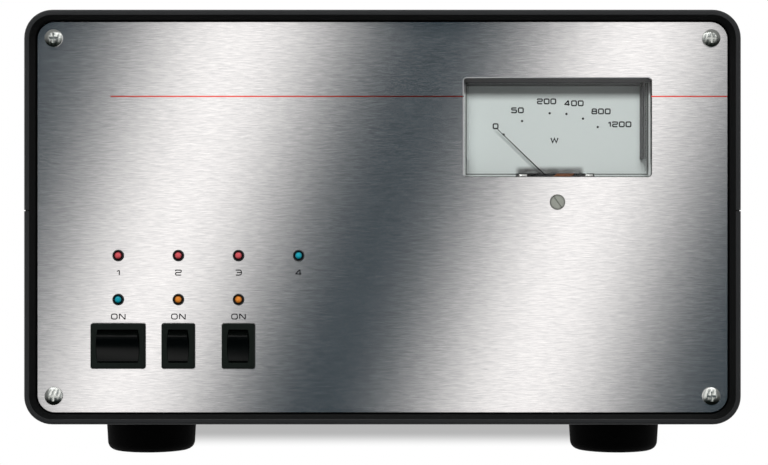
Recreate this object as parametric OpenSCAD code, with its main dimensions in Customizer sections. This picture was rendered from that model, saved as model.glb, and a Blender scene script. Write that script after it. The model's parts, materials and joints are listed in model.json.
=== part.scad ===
// Desktop UHF linear power amplifier.
// A moulded case of two shells holds a brushed front panel with a moving-coil meter, lamps
// and rocker switches, a rear panel with fans and sockets, and the power stage's chassis.
// Lengths are in millimetres: X to the right, Y to the rear, Z up.

/* [Case] */
// Width of the moulded case
case_w = 330; // [320:1:380]
// Height of the moulded case without its feet
case_h = 191; // [188:1:230]
// Depth of the moulded case
case_d = 360; // [352:1:440]
// Outer radius of the four long corners
corner_r = 13; // [12:0.5:16]
// Thickness of the case walls
wall = 3; // [2.4:0.1:3.6]
// Width of the flat rim round the openings
rim_w = 2.3; // [1.8:0.1:3]
// Rounding of the rim's outer edge
lip_r = 1.2; // [0.4:0.1:1.6]
// How far the panels lie behind their rims
panel_recess = 8; // [6:0.5:12]
// Distance from the case's side to a panel's edge
panel_edge = 5; // [4.4:0.1:5.6]
// Gap round the edge of a panel
panel_gap = 0.9; // [0.3:0.1:1.1]
// Depth of the straight wall in front of a panel
mouth_wall = 2; // [1:0.5:3]
// Width of the ledge behind a panel's edge
ledge_w = 6; // [4:0.5:6.5]
// Thickness of that ledge
ledge_t = 3; // [2:0.5:5]
// Height of the seam above the case's middle
seam_rise = 3; // [0:0.5:8]
// Width of the shadow groove along the seam
seam_gap = 0.5; // [0.2:0.1:1]
// Depth of that groove
seam_depth = 0.7; // [0.3:0.1:1]
// Thickness of the upper shell's tongue
tongue_t = 1.2; // [0.8:0.1:1.4]
// How far the tongue reaches below the seam
tongue_h = 2.5; // [1.5:0.5:4]
// Clearance round the tongue
tongue_gap = 0.2; // [0.1:0.05:0.4]
// Radius of the posts that join the shells
post_r = 6.5; // [6:0.25:8]
// Distance from a rim to the nearest posts
post_setback = 40; // [36:1:44]
// Distance from the inner side wall to a post's axis
post_inset = 14; // [13:0.5:16]
// Length of the lower post above the screw's seat
post_grip = 25; // [15:1:40]
// How far a case screw enters the upper post
post_bite = 14; // [10:1:20]
// Radius of the bosses that take the panel screws
boss_r = 5.5; // [4.5:0.25:6]
// Length of those bosses
boss_l = 15; // [13:1:20]
// Thickness of the blind end of a boss
boss_end = 2; // [1:0.5:3]

/* [Vents] */
// Width of a vent slot
vent_w = 3; // [2:0.5:4]
// Length of a vent slot
vent_l = 60; // [30:5:80]
// Distance from one vent slot to the next
vent_pitch = 8; // [6:0.5:10]
// Number of vent slots in a row
vent_n = 24; // [8:1:26]

/* [Feet] */
// Height of a rubber foot
foot_h = 16; // [10:1:25]
// Diameter of a foot where it meets the case
foot_top_d = 43.3; // [36:0.1:50]
// Diameter of a foot near the floor
foot_low_d = 41.8; // [34:0.1:50]
// Rounding of a foot's lower edge
foot_round = 4; // [2:0.5:6]
// Distance of the feet from the middle of the case
foot_x = 111.5; // [90:0.5:120]
// Distance from a rim to the nearest feet's axis
foot_setback = 45; // [42:1:60]
// Diameter of the screw recess under a foot
foot_bore_d = 13; // [10:0.5:16]
// Depth of the screw recess under a foot
foot_bore_h = 7; // [5:0.5:9]
// Height of the boss that takes a foot screw
foot_boss_h = 6; // [4:0.5:7]

/* [Fasteners] */
// Diameter of the machine screws
screw_d = 4; // [3.5:0.1:4.2]
// Diameter of a pan head
head_d = 8.2; // [7.6:0.1:8.6]
// Height of a pan head
head_h = 2.7; // [2.2:0.1:3]
// Width across the flats of a nut
nut_af = 7; // [6.5:0.1:8]
// Height of a nut
nut_h = 3.2; // [2.4:0.1:4]
// Radial clearance of a screw in a plain hole
hole_gap = 0.25; // [0.15:0.05:0.4]
// Radial clearance of a screw in a tapped hole
thread_gap = 0.05; // [0.02:0.01:0.1]

/* [Front panel] */
// Thickness of the front panel
panel_t = 3; // [2:0.5:4]
// Distance from the panel's edges to its corner screws
screw_inset = 7.5; // [7:0.25:8]
// Width of the meter window
window_w = 87; // [80:1:95]
// Height of the meter window
window_h = 45.6; // [42:0.2:50]
// Corner radius of the meter window
window_r = 1.5; // [1:0.1:3]
// Bevel of the window's front edge
window_bevel = 0.4; // [0.2:0.1:0.6]
// Distance from the window's middle to the panel's right edge
window_right = 78.8; // [75:0.2:90]
// Distance from the window's middle to the panel's top edge
window_top = 48.7; // [46:0.1:55]
// Distance from the first lamps to the panel's left edge
lamp_left = 37.4; // [34:0.2:44]
// Distance from one lamp column to the next
lamp_pitch = 27.9; // [27:0.1:32]
// Height of the upper lamps above the panel's lower edge
lamp_high = 72.7; // [70:0.1:80]
// Height of the lower lamps above the panel's lower edge
lamp_low = 52.3; // [50:0.1:56]
// Height of the switches above the panel's lower edge
switch_row = 30.8; // [28:0.1:31]

/* [Rocker switches] */
// Width of the wide switch's bezel
wide_w = 25.3; // [22:0.1:26]
// Width of a narrow switch's bezel
narrow_w = 15.4; // [14:0.1:18]
// Height of a switch bezel
bezel_h = 21.1; // [20:0.1:23]
// Thickness of a switch bezel in front of the panel
bezel_t = 2.2; // [1.6:0.1:2.6]
// Bevel round a switch bezel
bezel_bevel = 0.5; // [0.3:0.1:0.7]
// Corner radius of a switch bezel
bezel_r = 1; // [0.8:0.1:2]
// Width of the bezel beside the rocker
bezel_side = 2.5; // [2.3:0.1:3]
// Height of the opening that holds the rocker
open_h = 15.4; // [15:0.1:16.4]
// Radius of the opening's bowed sides
open_bow = 40; // [36:2:120]
// Radius of the opening's corners
well_r = 1.2; // [0.6:0.1:1.6]
// How far the bezel overlaps the panel
bezel_lap = 1.1; // [0.8:0.1:1.2]
// Depth of the switch's box behind the panel's face
box_depth = 18; // [14:1:24]
// Depth of the rocker's well behind the panel
well_depth = 9; // [8.5:0.5:11]
// Gap between the rocker and its well
rocker_gap = 0.3; // [0.2:0.05:0.5]
// Tilt of a rocker either way
rocker_tilt = 15; // [10:1:15]
// Depth of the rocker's pivot behind the bezel's face
pivot_depth = 3; // [2.5:0.1:3.4]
// Distance from the pivot to a rocker's ridges
ridge_reach = 6.2; // [5.6:0.1:6.3]
// Height of the ridges in front of the pivot
ridge_rise = 5.2; // [4.6:0.1:5.3]
// Rounding of the ridges
ridge_round = 1; // [0.4:0.1:1]
// Half of the rocker's length at its pivot
rocker_half = 7.2; // [6.6:0.1:7.2]
// Half of the rocker's length at its tail
tail_half = 5.6; // [4:0.1:6]
// Depth of the rocker's tail behind the pivot
tail_depth = 4.5; // [3:0.1:4.8]
// Depth of the finger hollow in a rocker's face
rocker_dish = 1.6; // [0.8:0.1:2]
// Radius of a rocker's pivot pins
pin_r = 1.2; // [0.9:0.05:1.4]
// Running clearance of the pins
pin_gap = 0.05; // [0.02:0.01:0.1]
// How far each pin enters the side of the box
pin_bite = 0.8; // [0.6:0.1:1]
// Free space at the end of a pin
pin_end = 0.15; // [0.1:0.05:0.2]
// Width of a flat terminal blade
blade_w = 4.8; // [4:0.1:6.3]
// Thickness of a terminal blade
blade_t = 0.8; // [0.5:0.1:1]
// Length of a terminal blade
blade_l = 8; // [6:0.5:10]

/* [Lamps] */
// Diameter of a lamp's lens
lens_d = 3.8; // [3.4:0.1:4]
// Diameter of a lamp bezel's flange
lamp_flange_d = 5.4; // [5.2:0.1:6.4]
// Diameter of a lamp bezel's barrel
lamp_barrel_d = 4.6; // [4.5:0.1:5]
// Thickness of the bezel's flange
lamp_flange_t = 1; // [0.6:0.1:1.4]
// Depth of the bezel's barrel behind the panel
lamp_barrel_l = 7; // [5:0.5:9]
// Clearance of the lens and of the barrel
lamp_gap = 0.06; // [0.03:0.01:0.1]
// Distance from the panel's face to the lamp board
lamp_board_d = 13; // [11:0.5:16]
// Width of the lamp board beyond its outer lamps
lamp_board_edge = 8; // [7:0.5:9]
// Thickness of the circuit boards
board_t = 1.6; // [1.2:0.1:2]
// Thickness of a lamp's leads
lead_t = 0.6; // [0.4:0.1:0.7]
// Distance between the two leads of a lamp
lead_pitch = 2.54; // [2:0.01:2.8]
// Clearance of the leads in the board
lead_gap = 0.1; // [0.05:0.05:0.2]
// Width of a board pillar across its corners
pillar_d = 6; // [5:0.5:7]

/* [Meter] */
// Wall thickness of the meter's clear cover
cover_t = 2; // [1.5:0.1:2.5]
// Gap between the cover and the edge of the window
cover_gap = 0.25; // [0.15:0.05:0.5]
// How far the cover stands in front of the panel
cover_proud = 0.6; // [0.2:0.1:1.2]
// Depth of the cover behind the panel
cover_depth = 17; // [16:0.5:22]
// Width of the cover beyond the window
cover_edge = 6; // [5:0.5:8]
// Depth of the dial plate behind the panel
dial_d = 13; // [12:0.5:14]
// Distance from the window's edge to the liner at the dial
liner_in = 2.9; // [2.4:0.1:4.5]
// How much the liner opens out to the front
liner_draft = 0.6; // [0.3:0.1:2.4]
// Thickness of the liner's front edge
liner_t = 0.5; // [0.4:0.1:2]
// How far the liner is set to the left
liner_left = 0.8; // [0:0.1:1]
// Drop from the window's middle to the liner's ends
liner_low = 14.5; // [10:0.5:18]
// Thickness of the dial plate
dial_t = 0.8; // [0.5:0.1:1.2]
// Drop from the window's middle to the pivot
pivot_drop = 26.7; // [26:0.1:29]
// Drop from the window's middle to the zero screw
zero_drop = 34.8; // [34.4:0.1:38]
// Width of the dial plate's gap round the movement
dial_gap_w = 37; // [36:0.5:40]
// Height of that gap above the pivot
dial_gap_h = 5.6; // [5.6:0.1:9]
// Length of the pointer from its pivot
pointer_l = 38.8; // [36:0.2:40]
// Width of the pointer at its hub
pointer_w = 0.7; // [0.4:0.1:1]
// Thickness of the pointer
pointer_t = 0.3; // [0.2:0.05:0.5]
// Length of the pointer's tail
pointer_tail = 8; // [6:0.5:9]
// Depth of the pointer behind the panel
pointer_d = 10.6; // [10.4:0.1:11]
// Angle of the resting pointer left of upright
pointer_rest = 46; // [44:1:48]
// Turn of the pointer over the whole dial
pointer_sweep = 90; // [80:1:92]
// Radius of the meter's round can
can_r = 24; // [23:0.5:28]
// Depth of the can behind the base plate
can_l = 26; // [25:0.5:32]
// Thickness of the base plate
base_t = 3; // [2:0.5:4]
// Outer radius of the iron yoke
yoke_r = 20; // [19:0.5:20.5]
// Radius of the yoke's bore
yoke_bore_r = 13.2; // [13:0.1:14]
// Length of the yoke
yoke_l = 12; // [10:0.5:14]
// Depth from the base plate's back to the yoke
yoke_in = 3; // [2:0.5:4]
// Radius of the core magnet
core_r = 9; // [8:0.1:9.2]
// Width of the moving coil
coil_w = 6; // [4:0.2:6.4]
// Thickness of the coil's winding
coil_t = 1.5; // [1:0.1:1.8]
// Running gap between coil and core
coil_gap = 0.9; // [0.6:0.05:1]
// Radius of the pointer's staff
staff_r = 0.7; // [0.5:0.05:0.9]
// Thickness of the meter's bridge
bridge_t = 1; // [0.8:0.1:1.2]
// Height of the bridge's ends above the pivot
bridge_up = 5; // [4:0.1:5.5]
// Height of the bridge between its ends
bridge_mid = 2.8; // [2.5:0.1:4]
// Height of the bridge below the pivot
bridge_down = 4; // [3:0.1:5]
// Distance of the bridge's pillars from the pivot
bridge_x = 15.5; // [15:0.1:16]
// Radius of the bridge's pillars
bridge_pillar_r = 1.8; // [1.4:0.1:2]
// Diameter of the zero screw's head
zero_d = 7; // [6:0.1:8]
// Clearance of the zero screw in the panel
zero_gap = 0.1; // [0.05:0.01:0.2]
// Radius of the zero screw's neck
zero_neck_r = 2.4; // [2:0.1:2.8]
// Offset of the zero screw's pin from its axis
zero_throw = 1; // [0.6:0.1:1.2]
// Radius of the zero screw's pin
zero_pin_r = 0.5; // [0.4:0.05:0.6]
// Clearance of that pin in the lever's fork
fork_gap = 0.1; // [0.08:0.01:0.15]
// Radius of the wire of the hairspring
hair_r = 0.15; // [0.1:0.01:0.2]
// Turns of the hairspring
hair_turns = 4; // [2:1:5]

/* [Rear panel] */
// Thickness of the rear panel
rear_t = 2; // [1.5:0.5:3]
// Height of the sockets above the case's middle
socket_row = 55; // [50:1:60]
// Distance of the output socket from the case's left
output_left = 40; // [36:1:44]
// Distance of the input socket from the output socket
socket_pitch = 45; // [36:1:50]
// Distance of the keying socket from the input socket
keying_pitch = 50; // [40:1:60]
// Distance of the mains inlet from the case's right
inlet_right = 46; // [44:1:50]
// Distance of the earth terminal from the mains inlet
earth_pitch = 45; // [40:1:55]

/* [Fans] */
// Size of a fan
fan_size = 92; // [80:1:92]
// Thickness of a fan
fan_t = 25; // [25:0.5:30]
// Gap between the two fans
fan_space = 3; // [1:0.5:5]
// Gap under the fans
fan_lift = 1; // [1:0.5:2]
// Thickness of the fan's barrel at its sides
fan_rim = 2.5; // [2:0.1:3]
// Thickness of the fan's two flanges
fan_flange = 4; // [3:0.5:5]
// Fan size less its screw holes' distance
fan_hole_in = 9.5; // [9:0.25:10]
// Radius of the rotor's hub
hub_r = 18; // [15:0.5:20]
// Clearance round the tips of the blades
tip_gap = 1; // [0.6:0.1:1.5]
// Number of blades
blade_n = 7; // [5:1:9]
// Width of a blade from edge to edge
blade_chord = 24; // [18:1:26]
// Thickness of a blade
blade_thick = 1.6; // [1.2:0.1:2]
// Depth of a blade's hollow
blade_camber = 2.6; // [1:0.2:3.2]
// Angle of a blade to the fan's plane
blade_pitch = 34; // [25:1:38]
// Radius of the rotor's shaft
shaft_r = 1.5; // [1:0.1:2]
// Running clearance of the shaft
shaft_gap = 0.05; // [0.02:0.01:0.1]
// Thickness of the stator's disc and struts
stator_t = 4; // [3:0.5:5]
// Width of a stator strut
strut_w = 4; // [3:0.5:6]
// Radius of the wire of a finger guard
guard_r = 0.9; // [0.7:0.05:1]
// Number of rings in a finger guard
guard_n = 5; // [4:1:6]

/* [Sockets] */
// Width of an aerial socket's square flange
n_flange = 25.4; // [24:0.1:26]
// Thickness of that flange
n_flange_t = 2.5; // [2:0.1:3]
// Radius of the socket's neck
n_neck_r = 6.6; // [6:0.1:7]
// Length of the socket's neck
n_neck_l = 3.2; // [2:0.1:4]
// Radius of the threaded barrel
n_barrel_r = 7.9; // [7.5:0.1:8]
// Length of the threaded barrel
n_barrel_l = 10.5; // [9:0.1:11]
// Radius of the barrel's bore
n_bore_r = 4.25; // [4:0.05:4.6]
// Depth of the barrel's bore
n_bore_l = 9; // [8:0.1:10]
// Radius of the socket's body behind the panel
n_tail_r = 5.5; // [5:0.1:6]
// Length of that body behind the panel
n_tail_l = 12; // [10:0.5:16]
// Radius of the insulators
insulator_r = 3.4; // [3:0.1:3.6]
// Radius of the centre contacts
contact_r = 1.5; // [1:0.1:1.7]
// Clearance between shells, insulators and contacts
contact_gap = 0.05; // [0.02:0.01:0.1]
// Distance of a flange screw from the socket's axis
n_screw_in = 9.1; // [8.8:0.1:9.6]
// Diameter of the small flange screws
small_d = 3; // [2.5:0.1:3]
// Radius of the keying socket's shell
keying_r = 4.15; // [4:0.05:4.3]
// Length of that shell
keying_l = 9; // [7:0.5:11]
// Radius of the earth stud
stud_r = 2.5; // [2:0.1:3]
// Length of the earth stud outside the panel
stud_l = 14; // [10:0.5:16]
// Radius of the stud's shank through the panel
shank_r = 2; // [1.6:0.1:2.2]

/* [Mains inlet] */
// Width of the inlet's flange
inlet_w = 50; // [48:1:54]
// Height of the inlet's flange
inlet_h = 34; // [33:0.5:38]
// Thickness of that flange
inlet_t = 3; // [2:0.5:4]
// Width of the body behind the flange
inlet_body_w = 28; // [27:0.5:31]
// Height of that body
inlet_body_h = 31; // [31:0.5:32.5]
// Depth of that body behind the panel's face
inlet_depth = 24; // [22:0.5:30]
// Width of the plug cavity
plug_w = 24.2; // [23.6:0.1:24.6]
// Height of the plug cavity
plug_h = 16.8; // [16.6:0.1:17]
// Depth of the plug cavity
plug_l = 17; // [15:0.5:19]
// Slanted corners of the plug cavity
plug_cut = 4; // [3:0.5:5]
// Height of the plug cavity above the inlet's middle
plug_up = 5.5; // [5.2:0.1:5.6]
// Distance between the two outer pins
mains_pitch = 14; // [13.5:0.1:14.5]
// Height of the earth pin above the outer pins
mains_rise = 4; // [3.5:0.1:4.2]
// Width of a pin
mains_pin_w = 2; // [1.6:0.1:2.2]
// Height of a pin
mains_pin_h = 4; // [3.6:0.1:4]
// Distance between the inlet's screws
inlet_pitch = 40; // [38:0.5:42]
// Width of the fuse drawer
drawer_w = 20; // [18:0.5:22]
// Height of the fuse drawer
drawer_h = 7; // [6:0.2:7.4]
// Length of the fuse drawer
drawer_l = 19; // [16:0.5:20]
// Distance of the drawer below the inlet's middle
drawer_down = 10; // [9.6:0.1:10.2]
// Clearance round the drawer
drawer_gap = 0.2; // [0.1:0.05:0.3]
// Thickness of the drawer's pull
drawer_pull = 2; // [1.5:0.1:3]

/* [Power stage] */
// Height of the bosses under the chassis plate
standoff_h = 8; // [7.5:0.5:12]
// Thickness of the chassis plate
chassis_t = 2; // [1.5:0.5:3]
// Gap between the chassis plate and the side walls
chassis_gap = 4; // [3:0.5:6]
// Distance from a rim to the chassis plate
chassis_setback = 52; // [52:1:60]
// Distance from the front rim to the heatsink and supply
stage_front = 75; // [70:1:90]
// The same distance at the rear
stage_rear = 64; // [62:1:70]
// Gap between the heatsink and its neighbours
sink_gap = 9; // [6:0.5:16]
// Thickness of the heatsink's base
sink_base = 10; // [6:0.5:14]
// Height of the heatsink's fins
sink_fin_h = 82; // [60:1:84]
// Number of fins
sink_fin_n = 24; // [12:1:26]
// Thickness of a fin
sink_fin_t = 1.8; // [1.4:0.1:2.4]
// Distance from the heatsink's sides to the spreader
spreader_side = 18; // [12:1:30]
// Gap between the spreader and the filter box
spreader_gap = 9; // [4:1:20]
// Thickness of the copper spreader
spreader_t = 8; // [5:0.5:10]
// Distance from the heatsink's front to the spreader
spreader_in = 8; // [4:1:12]
// Length of a power transistor
device_l = 34; // [30:0.5:38]
// Width of a power transistor
device_w = 10; // [8:0.5:12]
// Length of a transistor's lid
lid_l = 20; // [16:0.5:24]
// Height of a transistor's lid
lid_h = 3.5; // [2:0.5:4]
// Distance between the two power transistors
device_pitch = 64; // [50:1:74]
// Gap round a transistor in its board
device_gap = 0.3; // [0.2:0.1:0.5]
// Width of the filter box
filter_w = 110; // [90:1:112]
// Length of the filter box
filter_l = 74; // [60:1:75]
// Height of the filter box
filter_h = 56; // [54:0.5:62]
// Sheet thickness of the filter box and supply
sheet_t = 1.2; // [0.8:0.1:1.6]
// Width and height of a changeover relay
relay_w = 30; // [26:0.5:32]
// Length of a changeover relay
relay_l = 35; // [26:0.5:38]
// Radius of the coaxial links
link_r = 1.8; // [1.4:0.1:2.2]
// Radius of the bends in the links
link_bend = 8; // [7:0.5:10]
// Distance of the links from the filter box's middle and side
link_off = 20; // [16:1:24]
// Distance from the board's rear to the input link
feed_in = 12; // [8:1:16]
// Width of the power supply
supply_w = 56; // [46:1:58]
// Height of the power supply
supply_h = 90; // [70:1:94]
// Gap from the supply or board to the chassis's edge
edge_gap = 1; // [0.5:0.5:3]
// Width of the control board
control_w = 54; // [46:1:58]
// Height of the pillars under the control board
pillar_h = 6; // [4:0.5:10]

/* [Hidden] */
$fn = 64;

// A hair's breadth by which a cut passes the face that it opens
cut = 0.5;

// Places in the case: x and v from its middle, d back from the front rim
mid_z = foot_h + case_h / 2;
panel_w = case_w - 2 * panel_edge;
panel_h = case_h - 2 * panel_edge;
panel_r = corner_r - panel_edge;
rear_d = case_d - panel_recess;
rear_in = rear_d - rear_t;
floor_v = wall - case_h / 2;
side_x = case_w / 2 - wall;
n_proud = n_flange_t + n_neck_l + n_barrel_l;
overall_d = max(case_d, rear_d + max(n_proud, stud_l));
front_y = -overall_d / 2;
corner_x = panel_w / 2 - screw_inset;
corner_v = panel_h / 2 - screw_inset;
post_x = side_x - post_inset;
post_ds = [post_setback, case_d - post_setback];
foot_ds = [foot_setback, case_d - foot_setback];
screw_r = screw_d / 2;

// Places on the front panel
lamp_x = [for (i = [0:3]) lamp_left - panel_w / 2 + i * lamp_pitch];
lamp_v = [lamp_high - panel_h / 2, lamp_low - panel_h / 2];
red_lamps = [[lamp_x[0], lamp_v[0]], [lamp_x[1], lamp_v[0]], [lamp_x[2], lamp_v[0]]];
blue_lamps = [[lamp_x[3], lamp_v[0]], [lamp_x[0], lamp_v[1]]];
amber_lamps = [[lamp_x[1], lamp_v[1]], [lamp_x[2], lamp_v[1]]];
lamps = concat(red_lamps, blue_lamps, amber_lamps);
switch_v = switch_row - panel_h / 2;
switches = [[lamp_x[0], wide_w], [lamp_x[1], narrow_w], [lamp_x[2], narrow_w]];
box_h = bezel_h - 2 * bezel_lap;
board_w = lamp_x[3] - lamp_x[0] + 2 * lamp_board_edge;
board_h = lamp_v[0] - lamp_v[1] + 2 * lamp_board_edge;
board_x = (lamp_x[0] + lamp_x[3]) / 2;
board_v = (lamp_v[0] + lamp_v[1]) / 2;
pillar_in = pillar_d / 2 + 0.5;

// Places in the meter, from the middle of its window
meter_x = panel_w / 2 - window_right;
meter_v = panel_h / 2 - window_top;
cover_w = window_w + 2 * cover_edge;
cover_top = window_h / 2 + cover_edge;
cover_low = -(pivot_drop + can_r + cover_t);
cover_h = cover_top - cover_low;
cover_mid = (cover_top + cover_low) / 2;
base_d = panel_t + cover_depth;
can_d = base_d + base_t;
yoke_d = can_d + yoke_in;
can_floor = base_t;
coil_in = core_r + coil_gap;
coil_out = coil_in + coil_t;
coil_front = yoke_d - coil_t;
coil_back = yoke_d + yoke_l + coil_t;
core_in = coil_gap;
staff_l = 2;
lever_t = 0.6;
lever_d = pointer_d - lever_t - 0.5;
lever_gap = 0.3;
bridge_d = lever_d - lever_gap - bridge_t;
hub_in = 2.2;
fork_l = zero_drop - pivot_drop;
peg_r = 0.4;
hair_d = dial_d + dial_t + 1;
hair_in = staff_r + 0.4;
hair_out = 2 * hub_in;
peg_x = hair_out + hair_r + peg_r + 0.2;
ear_w = nut_af + 2;
ear_x = cover_w / 2 + ear_w / 2;
ear_vs = [cover_top - ear_w / 2, cover_low + ear_w / 2];

// Places at the rear and on the chassis
output_x = output_left - case_w / 2;
input_x = output_x + socket_pitch;
keying_x = input_x + keying_pitch;
inlet_x = case_w / 2 - inlet_right;
earth_x = inlet_x - earth_pitch;
chassis_v = floor_v + standoff_h;
deck_v = chassis_v + chassis_t;
chassis_x = side_x - chassis_gap;
chassis_hole_in = 6;
chassis_xs = [-1, 1] * (chassis_x - chassis_hole_in);
chassis_ds = [chassis_setback + chassis_hole_in, case_d - chassis_setback - chassis_hole_in];
fan_v = deck_v + fan_lift + fan_size / 2;
fan_x = (fan_size + fan_space) / 2;
fan_bore_r = fan_size / 2 - fan_rim;
fan_hole = (fan_size - fan_hole_in) / 2;
tip_r = fan_bore_r - tip_gap;
guard_top = 3.6 * guard_r;
stage_l = case_d - stage_front - stage_rear;
supply_x = chassis_x - edge_gap - supply_w;
control_x = -chassis_x + edge_gap;
sink_x = control_x + control_w + sink_gap;
sink_w = supply_x - sink_gap - sink_x;
sink_v = deck_v + sink_fin_h + sink_base;
spreader_x = sink_x + spreader_side;
spreader_w = sink_w - 2 * spreader_side;
spreader_d = stage_front + spreader_in;
spreader_l = stage_l - spreader_in - spreader_gap - filter_l;
board_top = sink_v + spreader_t + board_t;
filter_d = stage_front + stage_l - filter_l;
relay_d = rear_in - n_tail_l - relay_l;

// Front view to case: y becomes height and z becomes depth
module front_view() {
  translate([0, front_y, mid_z]) rotate([90, 0, 0]) mirror([0, 0, 1]) children();
}

// Plan view to case: y is depth and z is height
module plan_view() {
  translate([0, front_y, mid_z]) children();
}

module on_panel(x = 0, v = 0) {
  front_view() translate([x, v, panel_recess]) children();
}

module rounded(w, h, r) {
  square([w - 2 * r, h], center = true);
  square([w, h - 2 * r], center = true);
  for (x = [-1, 1], y = [-1, 1]) {
    translate([x * (w / 2 - r), y * (h / 2 - r)]) circle(r);
  }
}

// Sweeps a section round a rounded rectangle: x is inward, y is depth
module frame_side(l) {
  translate([-l / 2, 0, 0]) mirror([0, 1, 0]) rotate([90, 0, 90]) linear_extrude(l) children();
}

module frame_sweep(w, h, r) {
  for (s = [0, 180]) {
    rotate(s) translate([0, h / 2, 0]) frame_side(w - 2 * r) children();
    rotate(s + 90) translate([0, w / 2, 0]) frame_side(h - 2 * r) children();
  }
  for (x = [0, 1], y = [0, 1]) {
    mirror([x, 0, 0]) mirror([0, y, 0]) translate([w / 2 - r, h / 2 - r, 0])
      rotate_extrude(angle = 90) translate([r, 0]) mirror([1, 0]) children();
  }
}

// A plate with a bevelled front
module bevel_plate(w, h, r, t, bevel) {
  frame_sweep(w, h, r) polygon([[0, t], [0, bevel], [bevel, 0], [r, 0], [r, t]]);
  translate([r - w / 2, r - h / 2, 0]) cube([w - 2 * r, h - 2 * r, t]);
}

// Pan-head screw: head towards -z, shank along +z
module pan_head(d, h) {
  dome = 0.8 * d;
  slot_l = 0.56 * d;
  slot_w = 0.13 * d;
  slot_h = 0.55 * h;
  difference() {
    intersection() {
      translate([0, 0, -h]) cylinder(d = d, h = h);
      translate([0, 0, dome - h]) sphere(dome, $fn = 96);
    }
    translate([0, 0, -h - cut]) linear_extrude(slot_h + cut) {
      square([slot_l, slot_w], center = true);
      square([slot_w, slot_l], center = true);
    }
  }
}

module pan_screw(l) {
  pan_head(head_d, head_h);
  cylinder(d = screw_d, h = l);
}

module nut(af, h, r) {
  linear_extrude(h) difference() {
    circle(d = af / cos(30), $fn = 6);
    circle(r);
  }
}

// Case shells
function reversed(list) = [for (i = [len(list) - 1:-1:0]) list[i]];

function opening_profile(t) = concat(
  [for (a = [0:30:90]) [lip_r * (1 - cos(a)), lip_r * (1 - sin(a))]],
  [
    [rim_w, 0],
    [panel_edge - panel_gap, panel_recess - mouth_wall],
    [panel_edge - panel_gap, panel_recess + t],
    [panel_edge + ledge_w, panel_recess + t],
    [panel_edge + ledge_w, panel_recess + t + ledge_t],
    [wall, panel_recess + t + ledge_t]
  ]
);

wall_profile = concat(
  opening_profile(panel_t),
  reversed([for (p = opening_profile(rear_t)) [p[0], case_d - p[1]]])
);

module case_tube() {
  front_view() frame_sweep(case_w, case_h, corner_r) polygon(wall_profile);
}

// side is 1 for the upper shell
module half_space(side) {
  plan_view() translate([-case_w, -case_d, seam_rise])
    mirror([0, 0, side > 0 ? 0 : 1]) cube([2 * case_w, 3 * case_d, case_h]);
}

// Shadow groove along the seam
module seam_groove() {
  reach = seam_depth + cut;
  plan_view() translate([0, 0, seam_rise - seam_gap / 2]) linear_extrude(seam_gap) {
    for (s = [0, 1]) mirror([s, 0]) {
      translate([case_w / 2 - seam_depth, -cut]) square([reach, case_d + 2 * cut]);
      for (d = [-cut, case_d - seam_depth]) {
        translate([case_w / 2 - panel_edge, d]) square([panel_edge + cut, reach]);
      }
    }
  }
}

module panel_bosses(side) {
  front_view() for (x = [-1, 1] * corner_x) {
    translate([x, side * corner_v, panel_recess + panel_t]) cylinder(r = boss_r, h = boss_l);
    translate([x, side * corner_v, rear_in - boss_l]) cylinder(r = boss_r, h = boss_l);
  }
}

module panel_boss_holes(side) {
  front_view() for (x = [-1, 1] * corner_x) {
    translate([x, side * corner_v, panel_recess + panel_t - cut])
      cylinder(r = screw_r + thread_gap, h = boss_l + cut - boss_end);
    translate([x, side * corner_v, rear_in - boss_l + boss_end])
      cylinder(r = screw_r + thread_gap, h = boss_l + cut - boss_end);
  }
}

module vents(v, row_ds) {
  plan_view() for (d = row_ds, i = [0:vent_n - 1]) {
    translate([(i - (vent_n - 1) / 2) * vent_pitch, d, v - cut]) linear_extrude(wall + 2 * cut) {
      square([vent_w, vent_l - vent_w], center = true);
      for (e = [-1, 1]) translate([0, e * (vent_l - vent_w) / 2]) circle(vent_w / 2);
    }
  }
}

module tongues(t, h, gap) {
  front_d = panel_recess + panel_t + ledge_t;
  back_d = rear_in - ledge_t;
  plan_view() for (s = [0, 1]) {
    mirror([s, 0, 0]) translate([side_x - gap, front_d - gap, seam_rise - h - gap])
      cube([t + 2 * gap, back_d - front_d + 2 * gap, h + seam_gap + gap]);
  }
}

// Ribbed posts
module posts(low, high) {
  rib_low = max(low, corner_r - case_h / 2);
  rib_high = min(high, case_h / 2 - corner_r);
  rib_l = post_inset + wall / 2;
  plan_view() for (s = [0, 1], d = post_ds) mirror([s, 0, 0]) {
    translate([post_x, d, low]) cylinder(r = post_r, h = high - low);
    translate([side_x + wall / 2 - rib_l, d - wall / 2, rib_low])
      cube([rib_l, wall, rib_high - rib_low]);
  }
}

module post_holes(r, low, high) {
  plan_view() for (x = [-1, 1], d = post_ds) {
    translate([x * post_x, d, low]) cylinder(r = r, h = high - low);
  }
}

screw_seat_v = seam_rise - post_grip;
case_screw_l = post_grip + post_bite;

module case_top() {
  color("#2f3133") difference() {
    union() {
      intersection() {
        case_tube();
        half_space(1);
      }
      tongues(tongue_t, tongue_h, 0);
      posts(seam_rise, case_h / 2 - wall / 2);
      panel_bosses(1);
    }
    seam_groove();
    panel_boss_holes(1);
    post_holes(screw_r + thread_gap, seam_rise - cut, seam_rise + post_bite + boss_end);
    vents(case_h / 2 - wall, [case_d * 0.3, case_d * 0.7]);
  }
}

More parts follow.
